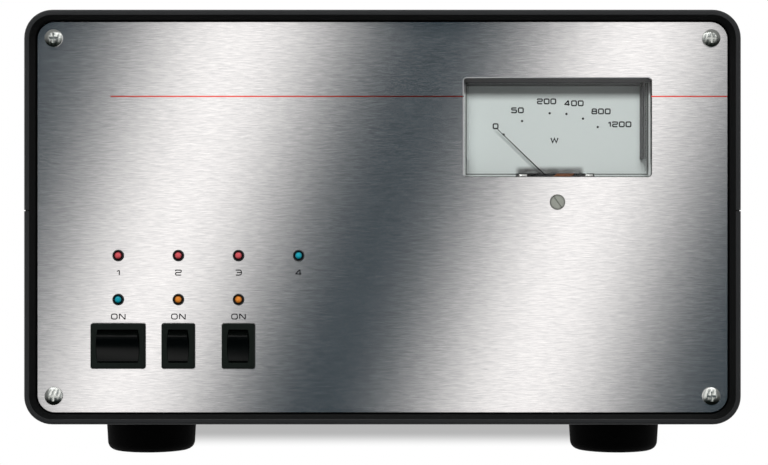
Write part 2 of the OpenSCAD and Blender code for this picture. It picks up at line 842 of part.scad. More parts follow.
module case_bottom() {
  color("#2b2d2f") difference() {
    union() {
      intersection() {
        case_tube();
        half_space(-1);
      }
      posts(floor_v - wall / 2, seam_rise);
      panel_bosses(-1);
      plan_view() for (d = foot_ds, x = [-1, 1]) {
        translate([x * foot_x, d, floor_v - wall / 2])
          cylinder(r = post_r, h = foot_boss_h + wall / 2);
      }
      plan_view() for (x = chassis_xs, d = chassis_ds) {
        translate([x, d, floor_v - wall / 2]) cylinder(r = boss_r, h = standoff_h + wall / 2);
      }
    }
    tongues(tongue_t, tongue_h, tongue_gap);
    seam_groove();
    panel_boss_holes(-1);
    post_holes(screw_r + hole_gap, screw_seat_v - cut, seam_rise + cut);
    post_holes(head_d / 2 + hole_gap, -case_h / 2 - cut, screw_seat_v);
    plan_view() for (d = foot_ds, x = [-1, 1]) {
      translate([x * foot_x, d, -case_h / 2 - cut])
        cylinder(r = screw_r + thread_gap, h = wall + foot_boss_h + 2 * cut);
    }
    plan_view() for (x = chassis_xs, d = chassis_ds) {
      translate([x, d, floor_v]) cylinder(r = screw_r + thread_gap, h = standoff_h + cut);
    }
    vents(-case_h / 2, [case_d / 2]);
  }
}

module case_screws() {
  color("silver") plan_view() for (x = [-1, 1], d = post_ds) {
    translate([x * post_x, d, screw_seat_v]) pan_screw(case_screw_l);
  }
}

// Feet
module foot_section() {
  top_r = foot_top_d / 2;
  low_r = foot_low_d / 2;
  polygon(concat(
    [[0, 0]],
    [for (a = [-90:15:0]) [low_r - foot_round * (1 - cos(a)), foot_round * (1 + sin(a))]],
    [[top_r, foot_h], [0, foot_h]]
  ));
}

module feet() {
  color("#151515") for (d = foot_ds, x = [-1, 1]) {
    plan_view() translate([x * foot_x, d, -case_h / 2 - foot_h]) difference() {
      rotate_extrude() foot_section();
      translate([0, 0, -cut]) cylinder(d = foot_bore_d, h = foot_bore_h + cut);
      cylinder(r = screw_r + hole_gap, h = foot_h + cut);
    }
  }
}

module foot_screws() {
  l = foot_h - foot_bore_h + wall + foot_boss_h - 1;
  color("silver") plan_view() for (d = foot_ds, x = [-1, 1]) {
    translate([x * foot_x, d, foot_bore_h - case_h / 2 - foot_h]) pan_screw(l);
  }
}

// Panels
module corner_holes() {
  for (x = [-1, 1], y = [-1, 1]) {
    translate([x * corner_x, y * corner_v]) circle(screw_r + hole_gap);
  }
}

module front_panel() {
  fit = 0.15;
  b = window_bevel;
  color("#b8bcc0") on_panel() difference() {
    linear_extrude(panel_t) difference() {
      rounded(panel_w, panel_h, panel_r);
      corner_holes();
      translate([meter_x, meter_v]) rounded(window_w, window_h, window_r);
      translate([meter_x, meter_v - zero_drop]) circle(zero_d / 2 + zero_gap);
      for (p = lamps) translate(p) circle(lamp_barrel_d / 2 + lamp_gap);
      for (s = switches) {
        translate([s[0], switch_v])
          square([s[1] - 2 * bezel_lap + 2 * fit, box_h + 2 * fit], center = true);
      }
    }
    translate([meter_x, meter_v, 0]) frame_sweep(window_w + 2 * b, window_h + 2 * b, window_r + b)
      polygon([[-cut, -cut], [b + cut, b + cut], [b + cut, -cut]]);
  }
}

module rear_panel() {
  color("#8d9194") front_view() translate([0, 0, rear_in]) linear_extrude(rear_t) difference() {
    rounded(panel_w, panel_h, panel_r);
    corner_holes();
    for (x = [-1, 1] * fan_x) translate([x, fan_v]) {
      circle(fan_bore_r);
      for (a = [-1, 1], b = [-1, 1]) translate([a, b] * fan_hole) circle(screw_r + hole_gap);
    }
    for (x = [output_x, input_x]) translate([x, socket_row]) {
      circle(n_tail_r + hole_gap);
      for (a = [-1, 1], b = [-1, 1]) {
        translate([a, b] * n_screw_in) circle(small_d / 2 + thread_gap);
      }
    }
    translate([keying_x, socket_row]) circle(keying_r + hole_gap);
    translate([earth_x, socket_row]) circle(shank_r + hole_gap);
    translate([inlet_x, socket_row]) {
      square([inlet_body_w, inlet_body_h] + [1, 1] * 2 * hole_gap, center = true);
      for (a = [-1, 1]) translate([a * inlet_pitch / 2, 0]) circle(small_d / 2 + thread_gap);
    }
  }
}

module panel_screws() {
  l = panel_t + boss_l - 2 * boss_end;
  color("gainsboro") for (x = [-1, 1] * corner_x, y = [-1, 1] * corner_v) {
    on_panel(x, y) pan_screw(l);
    front_view() translate([x, y, rear_d]) mirror([0, 0, 1]) pan_screw(l);
  }
}

// Rocker switches
module well_outline(w, gap) {
  half = w / 2 - bezel_side - gap;
  intersection() {
    rounded(2 * half, open_h, well_r);
    translate([half - open_bow, 0]) circle(open_bow, $fn = 256);
    translate([open_bow - half, 0]) circle(open_bow, $fn = 256);
  }
}

// Trunnion axis
module across(l, r) {
  translate([0, 0, pivot_depth - bezel_t]) rotate([0, 90, 0]) cylinder(r = r, h = l, center = true);
}

module switch_body(index) {
  w = switches[index][1];
  box_w = w - 2 * bezel_lap;
  color("#1b1c1d") on_panel(switches[index][0], switch_v) difference() {
    union() {
      translate([0, 0, -bezel_t]) bevel_plate(w, bezel_h, bezel_r, bezel_t, bezel_bevel);
      translate([-box_w / 2, -box_h / 2, -bezel_t / 2])
        cube([box_w, box_h, box_depth + bezel_t / 2]);
    }
    translate([0, 0, -bezel_t - cut]) linear_extrude(bezel_t + cut + well_depth) {
      well_outline(w, 0);
    }
    across(w - 2 * bezel_side + 2 * (pin_bite + pin_end), pin_r + pin_gap);
  }
}

// Rounded corner at c
function bend(c, u, v, r) = [
  for (t = [0:0.2:1]) c + r * ((1 - t) * (1 - t) * u + t * t * v)
];

module rocker_section() {
  dish_r = (ridge_reach * ridge_reach + rocker_dish * rocker_dish) / (2 * rocker_dish);
  ridge = [ridge_reach, -ridge_rise];
  end_way = [rocker_half, 0] - ridge;
  face_way = [rocker_dish - dish_r, ridge_reach];
  edge = bend(ridge, end_way / norm(end_way), face_way / norm(face_way), ridge_round);
  difference() {
    polygon(concat(
      [[rocker_half, 0]], edge, [for (p = reversed(edge)) [-p[0], p[1]]],
      [[-rocker_half, 0], [-tail_half, tail_depth], [tail_half, tail_depth]]
    ));
    translate([0, rocker_dish - ridge_rise - dish_r]) circle(dish_r, $fn = 128);
  }
}

module rocker(index) {
  w = switches[index][1];
  open_w = w - 2 * bezel_side;
  color("#101011") on_panel(switches[index][0], switch_v)
    translate([0, 0, pivot_depth - bezel_t]) rotate([-rocker_tilt, 0, 0]) {
      intersection() {
        rotate([90, 0, 90]) linear_extrude(open_w, center = true) rocker_section();
        translate([0, 0, -2 * ridge_rise]) linear_extrude(4 * ridge_rise) {
          well_outline(w, rocker_gap);
        }
      }
      rotate([0, 90, 0]) cylinder(r = pin_r, h = open_w + 2 * pin_bite, center = true);
    }
}

module switch_terminals() {
  step = 6;
  color("goldenrod") for (s = switches, row = [-1, 0, 1]) {
    poles = s[1] > 2 * blade_w + 2 * bezel_lap + step ? [-1, 1] : [0];
    for (p = poles) {
      on_panel(s[0] + p * step, switch_v + row * step) translate([0, 0, box_depth + blade_l / 2])
        cube([blade_w, blade_t, blade_l], center = true);
    }
  }
}

// Indicator lamps
module led_bezels() {
  in_r = lens_d / 2 + lamp_gap;
  out_r = lamp_flange_d / 2;
  tube_r = lamp_barrel_d / 2;
  slope = 0.3;
  color("#141414") for (p = lamps) on_panel(p[0], p[1]) rotate_extrude() polygon([
    [in_r, 0], [in_r + slope, -lamp_flange_t], [out_r - slope, -lamp_flange_t],
    [out_r, -lamp_flange_t / 2], [out_r, 0], [tube_r, 0], [tube_r, lamp_barrel_l],
    [in_r, lamp_barrel_l]
  ]);
}

module lamp_set(places, tint) {
  flange_t = 1;
  lead_l = lamp_board_d + board_t + 1 - lamp_barrel_l - flange_t;
  color(tint) for (p = places) on_panel(p[0], p[1]) {
    sphere(lens_d / 2);
    cylinder(d = lens_d, h = lamp_barrel_l);
    translate([0, 0, lamp_barrel_l]) cylinder(d = lamp_barrel_d, h = flange_t);
    for (s = [-1, 1]) {
      translate([s * lead_pitch / 2, 0, lamp_barrel_l + flange_t + lead_l / 2])
        cube([lead_t, lead_t, lead_l], center = true);
    }
  }
}

module red_leds() {
  lamp_set(red_lamps, "#c0392f");
}

module blue_leds() {
  lamp_set(blue_lamps, "#2b93a6");
}

module amber_leds() {
  lamp_set(amber_lamps, "#c9742a");
}

module board_corners() {
  for (x = [-1, 1], y = [-1, 1]) {
    translate([board_x + x * (board_w / 2 - pillar_in), board_v + y * (board_h / 2 - pillar_in)])
      children();
  }
}

module led_board() {
  hole = lead_t + 2 * lead_gap;
  color("#2f6b3a") on_panel() translate([0, 0, lamp_board_d]) linear_extrude(board_t) difference() {
    translate([board_x, board_v]) square([board_w, board_h], center = true);
    for (p = lamps, s = [-1, 1]) {
      translate(p + [s * lead_pitch / 2, 0]) square(hole, center = true);
    }
  }
}

control_l = stage_l;

module control_corners() {
  for (x = [pillar_in, control_w - pillar_in], d = [pillar_in, control_l - pillar_in]) {
    translate([control_x + x, stage_front + d, deck_v]) children();
  }
}

module board_pillars() {
  color("gold") {
    on_panel() board_corners() translate([0, 0, panel_t])
      cylinder(d = pillar_d, h = lamp_board_d - panel_t, $fn = 6);
    plan_view() control_corners() cylinder(d = pillar_d, h = pillar_h, $fn = 6);
  }
}

// Meter
module in_meter(d = 0) {
  on_panel(meter_x, meter_v) translate([0, 0, d]) children();
}

module at_pivot(d = 0) {
  in_meter(d) translate([0, -pivot_drop, 0]) children();
}

module meter_cover() {
  skin = cover_t;
  fit_w = window_w - 2 * cover_gap;
  fit_h = window_h - 2 * cover_gap;
  tray_r = 3;
  color("#dfeaf0", 0.3) in_meter() difference() {
    union() {
      translate([0, cover_mid, panel_t]) linear_extrude(cover_depth) rounded(cover_w, cover_h, tray_r);
      translate([0, 0, -cover_proud]) linear_extrude(cover_proud + panel_t + cut) {
        rounded(fit_w, fit_h, window_r - cover_gap);
      }
    }
    translate([0, cover_mid, panel_t + skin]) linear_extrude(cover_depth) {
      rounded(cover_w - 2 * skin, cover_h - 2 * skin, tray_r - skin);
    }
    translate([0, 0, skin - cover_proud]) linear_extrude(panel_t + skin) {
      square([fit_w - 2 * skin, fit_h - 2 * skin], center = true);
    }
    translate([0, -zero_drop, 0]) cylinder(r = zero_neck_r + zero_gap, h = panel_t + skin + cut);
  }
}

// Liner round the dial
module meter_liner() {
  front_d = panel_t + cover_t;
  l = dial_d - front_d;
  x = window_w / 2 - liner_in;
  v = window_h / 2 - liner_in;
  out = liner_draft + liner_t;
  section = [[0, l], [liner_draft, 0], [out, 0], [out, l]];
  in_meter(front_d) translate([-liner_left, 0, 0]) {
    for (s = [0, 1]) mirror([s, 0, 0]) translate([x, v + out, 0]) rotate([90, 0, 0])
      linear_extrude(v + out + liner_low) polygon(section);
    translate([-x - out, v, 0]) rotate([90, 0, 90]) linear_extrude(2 * (x + out)) polygon(section);
  }
}

module meter_base() {
  bar_r = 2.5;
  seat_r = (yoke_r + yoke_bore_r) / 2 + 0.6;
  cup_r = 2;
  color("#202122") meter_liner();
  color("#202122") difference() {
    union() {
      in_meter(base_d) linear_extrude(base_t) {
        translate([0, cover_mid]) square([cover_w, cover_h], center = true);
        for (s = [-1, 1], v = ear_vs) translate([s * ear_x, v]) square([ear_w + 1, ear_w], center = true);
      }
      at_pivot(can_d) cylinder(r = can_r, h = can_l);
      in_meter(dial_d + dial_t) for (s = [-1, 1]) {
        translate([s * (cover_w / 2 - 3 * bar_r), -pivot_drop, 0])
          cylinder(r = bar_r, h = base_d - dial_d - dial_t + cut);
      }
    }
    difference() {
      at_pivot(base_d - cut) cylinder(r = can_r - cover_t, h = cut + base_t + can_l - can_floor);
      at_pivot(yoke_d + yoke_l) difference() {
        cylinder(r = yoke_r, h = can_l);
        translate([0, 0, -cut]) cylinder(r = seat_r, h = can_l + 2 * cut);
      }
      at_pivot(coil_back + 1) cylinder(r = cup_r, h = can_l);
    }
    at_pivot(coil_back) cylinder(r = staff_r + pin_gap, h = staff_l + 1 + cut);
    for (s = [-1, 1], v = ear_vs) in_meter(base_d - cut) translate([s * ear_x, v, 0])
      cylinder(r = small_d / 2 + hole_gap, h = base_t + 2 * cut);
  }
}

module meter_dial() {
  slack = 0.3;
  plate_w = cover_w - 2 * cover_t - 2 * slack;
  plate_top = cover_top - cover_t - slack;
  plate_low = -pivot_drop - 8;
  color("#c9d0ce") in_meter(dial_d) linear_extrude(dial_t) difference() {
    translate([-plate_w / 2, plate_low]) square([plate_w, plate_top - plate_low]);
    translate([-dial_gap_w / 2, plate_low - cut])
      square([dial_gap_w, dial_gap_h - pivot_drop - plate_low + cut]);
  }
}

module meter_yoke() {
  color("#55585a") at_pivot(yoke_d) linear_extrude(yoke_l) difference() {
    circle(yoke_r);
    circle(yoke_bore_r);
  }
}

module meter_magnet() {
  wing_w = 5;
  reach = yoke_bore_r - 0.2;
  l = yoke_l - 2 * core_in;
  color("#7b7f82") at_pivot(yoke_d + core_in) {
    cylinder(r = core_r, h = l);
    intersection() {
      translate([-wing_w / 2, -reach, 0]) cube([wing_w, 2 * reach, l]);
      cylinder(r = reach, h = l);
    }
  }
}

module meter_bridge() {
  half = bridge_x + bridge_pillar_r;
  color("silver") at_pivot(bridge_d) {
    difference() {
      union() {
        translate([-half, -bridge_down, 0]) cube([2 * half, bridge_mid + bridge_down, bridge_t]);
        for (s = [-1, 1]) translate([s * bridge_x - bridge_pillar_r, 0, 0])
          cube([2 * bridge_pillar_r, bridge_up, bridge_t]);
        cylinder(r = hub_in, h = lever_d + lever_t - bridge_d);
      }
      translate([0, 0, bridge_t / 2]) cylinder(r = staff_r + pin_gap, h = 3 * bridge_t);
    }
    for (s = [-1, 1]) translate([s * bridge_x, 0, bridge_t / 2])
      cylinder(r = bridge_pillar_r, h = yoke_d - bridge_d - bridge_t / 2);
  }
}

module meter_coil() {
  color("#b8652f") at_pivot() rotate(pointer_rest - (2 * pointer_rest - pointer_sweep) / 2) difference() {
    translate([-coil_out, -coil_w / 2, coil_front - coil_gap])
      cube([2 * coil_out, coil_w, coil_back - coil_front + 2 * coil_gap]);
    translate([-coil_in, -coil_w / 2 - cut, coil_front + coil_t - coil_gap])
      cube([2 * coil_in, coil_w + 2 * cut, coil_back - coil_front - 2 * coil_t + 2 * coil_gap]);
  }
}

module meter_pointer() {
  tip_w = 0.4 * pointer_w;
  weight_w = 2.4;
  weight_l = 3;
  staff_front = bridge_d + bridge_t / 2 + 0.2;
  coil_face = coil_front - coil_gap;
  color("#1a1a1a") at_pivot() {
    rotate(pointer_rest) translate([0, 0, pointer_d]) linear_extrude(pointer_t) {
      polygon([[-pointer_w / 2, 0], [-tip_w / 2, pointer_l], [tip_w / 2, pointer_l], [pointer_w / 2, 0]]);
      translate([-pointer_w / 2, -pointer_tail]) square([pointer_w, pointer_tail]);
      translate([-weight_w / 2, -pointer_tail]) square([weight_w, weight_l]);
      circle(hub_in - 0.4);
    }
    translate([0, 0, staff_front]) cylinder(r = staff_r, h = coil_face - staff_front);
    translate([0, 0, coil_back + coil_gap]) cylinder(r = staff_r, h = staff_l);
  }
}

// A flat spiral tube from the staff to the lever's peg
hair_steps = 24 * hair_turns;
hair_sides = 6;

function hair_radius(i) = hair_in + (hair_out - hair_in) * i / hair_steps;

function hair_point(i, j) =
  let (turn = 360 * hair_turns * i / hair_steps, side = 360 * j / hair_sides,
       r = hair_radius(i) + hair_r * cos(side))
  [r * cos(turn), r * sin(turn), hair_r * sin(side)];

hair_points = [for (i = [0:hair_steps], j = [0:hair_sides - 1]) hair_point(i, j)];
hair_quads = [
  for (i = [0:hair_steps - 1], j = [0:hair_sides - 1])
    let (k = (j + 1) % hair_sides, a = i * hair_sides, b = a + hair_sides) [a + j, b + j, b + k, a + k]
];
hair_walls = [for (q = hair_quads, half = [0, 1]) half == 0 ? [q[0], q[1], q[2]] : [q[0], q[2], q[3]]];
hair_ends = concat(
  [for (j = [1:hair_sides - 2]) [0, j, j + 1]],
  [for (j = [1:hair_sides - 2]) [0, j + 1, j] + [1, 1, 1] * hair_steps * hair_sides]
);
echo(hairspring_gap = (hair_out - hair_in) / hair_turns - 2 * hair_r);

module meter_hairspring() {
  color("#c08a3e") at_pivot(hair_d) polyhedron(hair_points, concat(hair_walls, hair_ends));
}

module meter_zero_screw() {
  slot_w = 0.6;
  slot_h = 0.9;
  slot_turn = -55;
  head_front = 0.6;
  neck_l = cover_t;
  color("#8f9498") in_meter() translate([0, -zero_drop, 0]) difference() {
    union() {
      translate([0, 0, -head_front]) cylinder(d = zero_d, h = head_front + panel_t - 0.2);
      cylinder(r = zero_neck_r, h = panel_t + neck_l + 0.4);
      translate([0, zero_throw, panel_t])
        cylinder(r = zero_pin_r, h = lever_d + lever_t - panel_t);
    }
    rotate(slot_turn) translate([0, 0, slot_h / 2 - head_front - cut / 2])
      cube([zero_d + cut, slot_w, slot_h + cut], center = true);
  }
}

module meter_zero_lever() {
  ring_w = 1.4;
  arm_w = 3.4;
  slot_w = 2 * (zero_pin_r + fork_gap);
  slot_top = zero_throw + zero_pin_r + 1;
  color("#b5a36a") at_pivot(lever_d) {
    linear_extrude(lever_t) difference() {
      union() {
        circle(hub_in + pin_gap + ring_w);
        translate([-arm_w / 2, -fork_l]) square([arm_w, fork_l]);
        translate([0, -ring_w / 2]) square([peg_x + peg_r + 0.4, ring_w]);
      }
      circle(hub_in + pin_gap);
      translate([-slot_w / 2, -fork_l - cut]) square([slot_w, slot_top + cut]);
    }
    translate([peg_x, 0, 0]) cylinder(r = peg_r, h = hair_d + hair_r - lever_d);
  }
}

module meter_fixings() {
  tail = 2;
  stud_len = base_d + base_t + nut_h - panel_t + tail;
  post_l = 10;
  washer_h = 1;
  color("silver") {
    for (s = [-1, 1], v = ear_vs) {
      in_meter(panel_t) translate([s * ear_x, v, 0]) cylinder(d = small_d, h = stud_len);
      in_meter(can_d) translate([s * ear_x, v, 0])
        nut(nut_af, nut_h, small_d / 2 + thread_gap);
    }
    for (s = [-1, 1]) at_pivot(can_d + can_l) translate([s * can_r / 2, 0, 0]) {
      cylinder(d = screw_d, h = post_l);
      cylinder(d = nut_af, h = washer_h);
      translate([0, 0, washer_h]) nut(nut_af, nut_h, screw_r - thread_gap);
    }
  }
}

// Fans: local z points outward
module at_fan(side) {
  front_view() translate([side * fan_x, fan_v, rear_in - fan_t]) children();
}

bearing_r = shaft_r + 2.5;
bearing_l = 9;

module fan_frame(side) {
  lap = 1;
  color("#1d1e1f") at_fan(side) difference() {
    union() {
      difference() {
        union() {
          cylinder(r = fan_size / 2 - 0.1, h = fan_t);
          for (z = [0, fan_t - fan_flange]) translate([0, 0, z]) linear_extrude(fan_flange) {
            rounded(fan_size, fan_size, fan_flange);
          }
        }
        translate([0, 0, -cut]) cylinder(r = fan_bore_r, h = fan_t + 2 * cut);
      }
      translate([0, 0, fan_t - stator_t]) cylinder(r = hub_r + lap, h = stator_t);
      for (a = [0:90:270]) rotate(a + 20)
        translate([hub_r, -strut_w / 2, fan_t - stator_t])
          cube([fan_bore_r - hub_r + lap, strut_w, stator_t]);
      translate([0, 0, fan_t - stator_t - bearing_l]) cylinder(r = bearing_r, h = bearing_l + cut);
    }
    translate([0, 0, fan_t - stator_t - bearing_l - cut])
      cylinder(r = shaft_r + shaft_gap, h = bearing_l + cut + stator_t / 2);
    for (a = [-1, 1], b = [-1, 1]) translate([a * fan_hole, b * fan_hole, -cut])
      cylinder(r = screw_r + hole_gap, h = fan_t + 2 * cut);
  }
}

// A bowed strip at the blade's angle
blade_ts = [for (i = [-3:3]) i / 3];

function blade_edge(side) = [
  for (t = blade_ts)
    let (a = t * blade_chord / 2, b = blade_camber * (1 - t * t) + side * blade_thick / 2)
    [a * cos(blade_pitch) - b * sin(blade_pitch), a * sin(blade_pitch) + b * cos(blade_pitch)]
];

module fan_rotor(side) {
  face_gap = 1;
  hub_front = 2;
  hub_l = fan_t - stator_t - face_gap - hub_front;
  blade_mid = hub_front + hub_l / 2 - blade_camber / 2;
  blade_root = 0.75 * hub_r;
  well_r = bearing_r + 0.8;
  color("#26282a") at_fan(side) {
    difference() {
      translate([0, 0, hub_front]) cylinder(r = hub_r, h = hub_l);
      translate([0, 0, fan_t - stator_t - bearing_l - face_gap])
        cylinder(r = well_r, h = bearing_l + face_gap);
    }
    translate([0, 0, hub_front]) cylinder(r = shaft_r, h = fan_t - stator_t / 2 - hub_front - cut);
    for (i = [0:blade_n - 1]) rotate(360 * i / blade_n) intersection() {
      cylinder(r = tip_r, h = fan_t);
      translate([blade_root, 0, blade_mid]) rotate([90, 0, 90]) linear_extrude(tip_r) {
        polygon(concat(blade_edge(-1), reversed(blade_edge(1))));
      }
    }
  }
}

module guard_wire(r) {
  rotate_extrude() translate([r, 0]) circle(guard_r, $fn = 24);
}

module fan_guards() {
  eye_r = screw_r + hole_gap + guard_r;
  arm = sqrt(2) * fan_hole - eye_r;
  lift = guard_r + 0.05;
  ring_step = (fan_bore_r - 4) / guard_n;
  color("silver") for (s = [-1, 1]) front_view() translate([s * fan_x, fan_v, rear_d + lift]) {
    for (i = [1:guard_n]) translate([0, 0, guard_top - 2 * guard_r]) guard_wire(i * ring_step);
    for (a = [45:90:315]) rotate(a) {
      translate([ring_step - guard_r, 0, 0]) rotate([0, 90, 0])
        cylinder(r = guard_r, h = arm - ring_step + guard_r, $fn = 24);
      translate([arm + eye_r, 0, 0]) guard_wire(eye_r);
    }
  }
}

module fan_screws() {
  lift = 2 * guard_r + 0.1;
  l = lift + rear_t + fan_t + nut_h + 1;
  color("silver") for (s = [-1, 1], a = [-1, 1], b = [-1, 1]) {
    front_view() translate([s * fan_x + a * fan_hole, fan_v + b * fan_hole, 0]) {
      translate([0, 0, rear_d + lift]) mirror([0, 0, 1]) pan_screw(l);
      translate([0, 0, rear_in - fan_t - nut_h]) nut(nut_af, nut_h, screw_r + thread_gap);
    }
  }
}

// Sockets: local z points out of the rear panel
module at_rear(x) {
  front_view() translate([x, socket_row, rear_d]) children();
}

module n_socket(x) {
  color("silver") at_rear(x) difference() {
    union() {
      linear_extrude(n_flange_t) rounded(n_flange, n_flange, 2);
      cylinder(r = n_neck_r, h = n_flange_t + n_neck_l + cut);
      translate([0, 0, n_flange_t + n_neck_l]) cylinder(r = n_barrel_r, h = n_barrel_l);
      translate([0, 0, -rear_t - n_tail_l]) cylinder(r = n_tail_r, h = rear_t + n_tail_l + cut);
    }
    translate([0, 0, n_proud - n_bore_l]) cylinder(r = n_bore_r, h = n_bore_l + cut);
    translate([0, 0, -rear_t - n_tail_l - cut])
      cylinder(r = insulator_r + contact_gap, h = n_proud + n_tail_l);
    for (a = [-1, 1], b = [-1, 1]) translate([a * n_screw_in, b * n_screw_in, -cut])
      cylinder(r = small_d / 2 + hole_gap, h = n_flange_t + 2 * cut);
  }
}

module rf_input_socket() {
  n_socket(input_x);
}

module rf_output_socket() {
  n_socket(output_x);
}

keying_nut_h = 2.5;
keying_back = 8;
keying_bore_r = keying_r - 0.8;

module keying_socket() {
  hex_af = 12;
  color("gainsboro") at_rear(keying_x) difference() {
    union() {
      cylinder(d = hex_af / cos(30), h = keying_nut_h, $fn = 6);
      translate([0, 0, -rear_t - keying_back])
        cylinder(r = keying_r, h = keying_back + rear_t + keying_nut_h + keying_l);
      translate([0, 0, -rear_t - keying_nut_h]) cylinder(d = hex_af / cos(30), h = keying_nut_h, $fn = 6);
    }
    translate([0, 0, -rear_t - keying_back - cut])
      cylinder(r = keying_bore_r, h = keying_back + rear_t + keying_nut_h + keying_l + 2 * cut);
  }
}

module ring(r, bore, l) {
  linear_extrude(l) difference() {
    circle(r);
    circle(bore);
  }
}

module socket_insulators() {
  base_l = n_tail_l + rear_t + n_proud - n_bore_l;
  color("#ece8de") {
    for (x = [input_x, output_x]) at_rear(x) translate([0, 0, -rear_t - n_tail_l])
      ring(insulator_r, contact_r + contact_gap, base_l);
    at_rear(keying_x) translate([0, 0, -rear_t - keying_back])
      ring(keying_bore_r - contact_gap, contact_r + contact_gap, keying_back + rear_t + keying_nut_h);
  }
}

module socket_contacts() {
  short = 2.5;
  color("gold") {
    for (x = [input_x, output_x]) at_rear(x) translate([0, 0, -rear_t - n_tail_l])
      cylinder(r = contact_r, h = n_tail_l + rear_t + n_proud - short);
    at_rear(keying_x) translate([0, 0, -rear_t - keying_back - short])
      cylinder(r = contact_r, h = short + keying_back + rear_t + keying_nut_h);
  }
}

module socket_screws() {
  small_head_d = 5.4;
  small_head_h = 1.8;
  l = 6;
  color("silver") {
    for (x = [input_x, output_x], a = [-1, 1], b = [-1, 1]) at_rear(x)
      translate([a * n_screw_in, b * n_screw_in, n_flange_t]) mirror([0, 0, 1]) {
        pan_head(small_head_d, small_head_h);
        cylinder(d = small_d, h = l);
      }
    for (a = [-1, 1]) at_rear(inlet_x) translate([a * inlet_pitch / 2, 0, inlet_t]) mirror([0, 0, 1]) {
      pan_head(small_head_d, small_head_h);
      cylinder(d = small_d, h = l);
    }
  }
}

module plug_outline() {
  w = plug_w / 2;
  h = plug_h / 2;
  polygon([[-w, -h], [w, -h], [w, h - plug_cut], [w - plug_cut, h], [plug_cut - w, h], [-w, h - plug_cut]]);
}

module drawer_box(gap) {
  translate([0, -drawer_down, inlet_t - drawer_l / 2 - gap / 2 + cut * gap])
    cube([drawer_w + 2 * gap, drawer_h + 2 * gap, drawer_l + gap + 2 * cut * gap], center = true);
}

module mains_pin_places() {
  for (x = [-1, 1] * mains_pitch / 2) translate([x, plug_up - mains_rise / 2, 0]) children();
  translate([0, plug_up + mains_rise / 2, 0]) children();
}

module mains_inlet() {
  pin_fit = 0.05;
  color("#161718") at_rear(inlet_x) difference() {
    union() {
      linear_extrude(inlet_t) rounded(inlet_w, inlet_h, 3);
      translate([0, 0, -inlet_depth / 2]) cube([inlet_body_w, inlet_body_h, inlet_depth], center = true);
    }
    translate([0, plug_up, inlet_t - plug_l]) linear_extrude(plug_l + cut) plug_outline();
    drawer_box(drawer_gap);
    mains_pin_places() translate([0, 0, -inlet_depth / 2]) cube(
      [mains_pin_w + 2 * pin_fit, mains_pin_h + 2 * pin_fit, inlet_depth + cut], center = true
    );
    for (a = [-1, 1]) translate([a * inlet_pitch / 2, 0, -cut])
      cylinder(r = small_d / 2 + hole_gap, h = inlet_t + 2 * cut);
  }
}

module mains_pins() {
  short = 3;
  tail = 8;
  l = inlet_depth + inlet_t - short + tail;
  color("gainsboro") at_rear(inlet_x) mains_pin_places()
    translate([0, 0, inlet_t - short - l / 2]) cube([mains_pin_w, mains_pin_h, l], center = true);
}

module fuse_drawer() {
  pull_lap = 1;
  grip_r = 3;
  tray_t = 1;
  color("#1a1b1c") at_rear(inlet_x) difference() {
    union() {
      drawer_box(0);
      translate([0, -drawer_down, inlet_t + drawer_pull / 2])
        cube([drawer_w + 2 * pull_lap, drawer_h + 2 * pull_lap, drawer_pull], center = true);
    }
    translate([0, -drawer_down + tray_t, inlet_t - drawer_l / 2])
      cube([drawer_w - 2 * tray_t, drawer_h, drawer_l - 2 * tray_t], center = true);
    translate([0, -drawer_down - drawer_h / 2 - pull_lap, inlet_t + drawer_pull])
      rotate([0, 90, 0]) cylinder(d = drawer_pull, h = 4 * grip_r, center = true);
  }
}

module earth_terminal() {
  inner = 9;
  af = 8;
  nut_l = 4;
  collar_l = 5;
  color("silver") at_rear(earth_x) {
    translate([0, 0, -rear_t - inner]) cylinder(r = shank_r, h = inner + rear_t + cut);
    linear_extrude(collar_l) circle(d = af / cos(30), $fn = 6);
    translate([0, 0, collar_l - cut]) cylinder(r = stud_r, h = stud_l - collar_l + cut);
    translate([0, 0, -rear_t - nut_l]) nut(af, nut_l, shank_r + thread_gap);
  }
}

// Chassis and power stage
module chassis_plate() {
  l = case_d - 2 * chassis_setback;
  color("#a7abad") plan_view() translate([0, 0, chassis_v]) linear_extrude(chassis_t) difference() {
    translate([-chassis_x, chassis_setback]) square([2 * chassis_x, l]);
    for (x = chassis_xs, d = chassis_ds) translate([x, d]) circle(screw_r + hole_gap);
    for (x = [-1, 1] * foot_x, d = foot_ds) translate([x, d]) circle(head_d);
  }
}

module chassis_screws() {
  color("silver") plan_view() for (x = chassis_xs, d = chassis_ds) {
    translate([x, d, deck_v]) mirror([0, 0, 1]) pan_screw(chassis_t + standoff_h - 1);
  }
}

module heatsink() {
  pitch = (sink_w - sink_fin_t) / (sink_fin_n - 1);
  color("#5f6365") front_view() translate([sink_x, deck_v, stage_front]) linear_extrude(stage_l) {
    translate([0, sink_fin_h]) square([sink_w, sink_base]);
    for (i = [0:sink_fin_n - 1]) translate([i * pitch, 0]) square([sink_fin_t, sink_fin_h + cut]);
  }
}

module heat_spreader() {
  color("#b06a3c") plan_view() translate([spreader_x, spreader_d, sink_v])
    cube([spreader_w, spreader_l, spreader_t]);
}

module at_devices() {
  mid = [spreader_x + spreader_w / 2, spreader_d + spreader_l / 2];
  for (s = [-1, 1]) translate(mid + [s * device_pitch / 2, 0]) children();
}

module rf_board() {
  color("#3a6d78") plan_view() translate([0, 0, board_top - board_t]) linear_extrude(board_t) difference() {
    translate([spreader_x, spreader_d]) square([spreader_w, spreader_l]);
    at_devices() square([device_w, device_l] + [1, 1] * 2 * device_gap, center = true);
  }
}

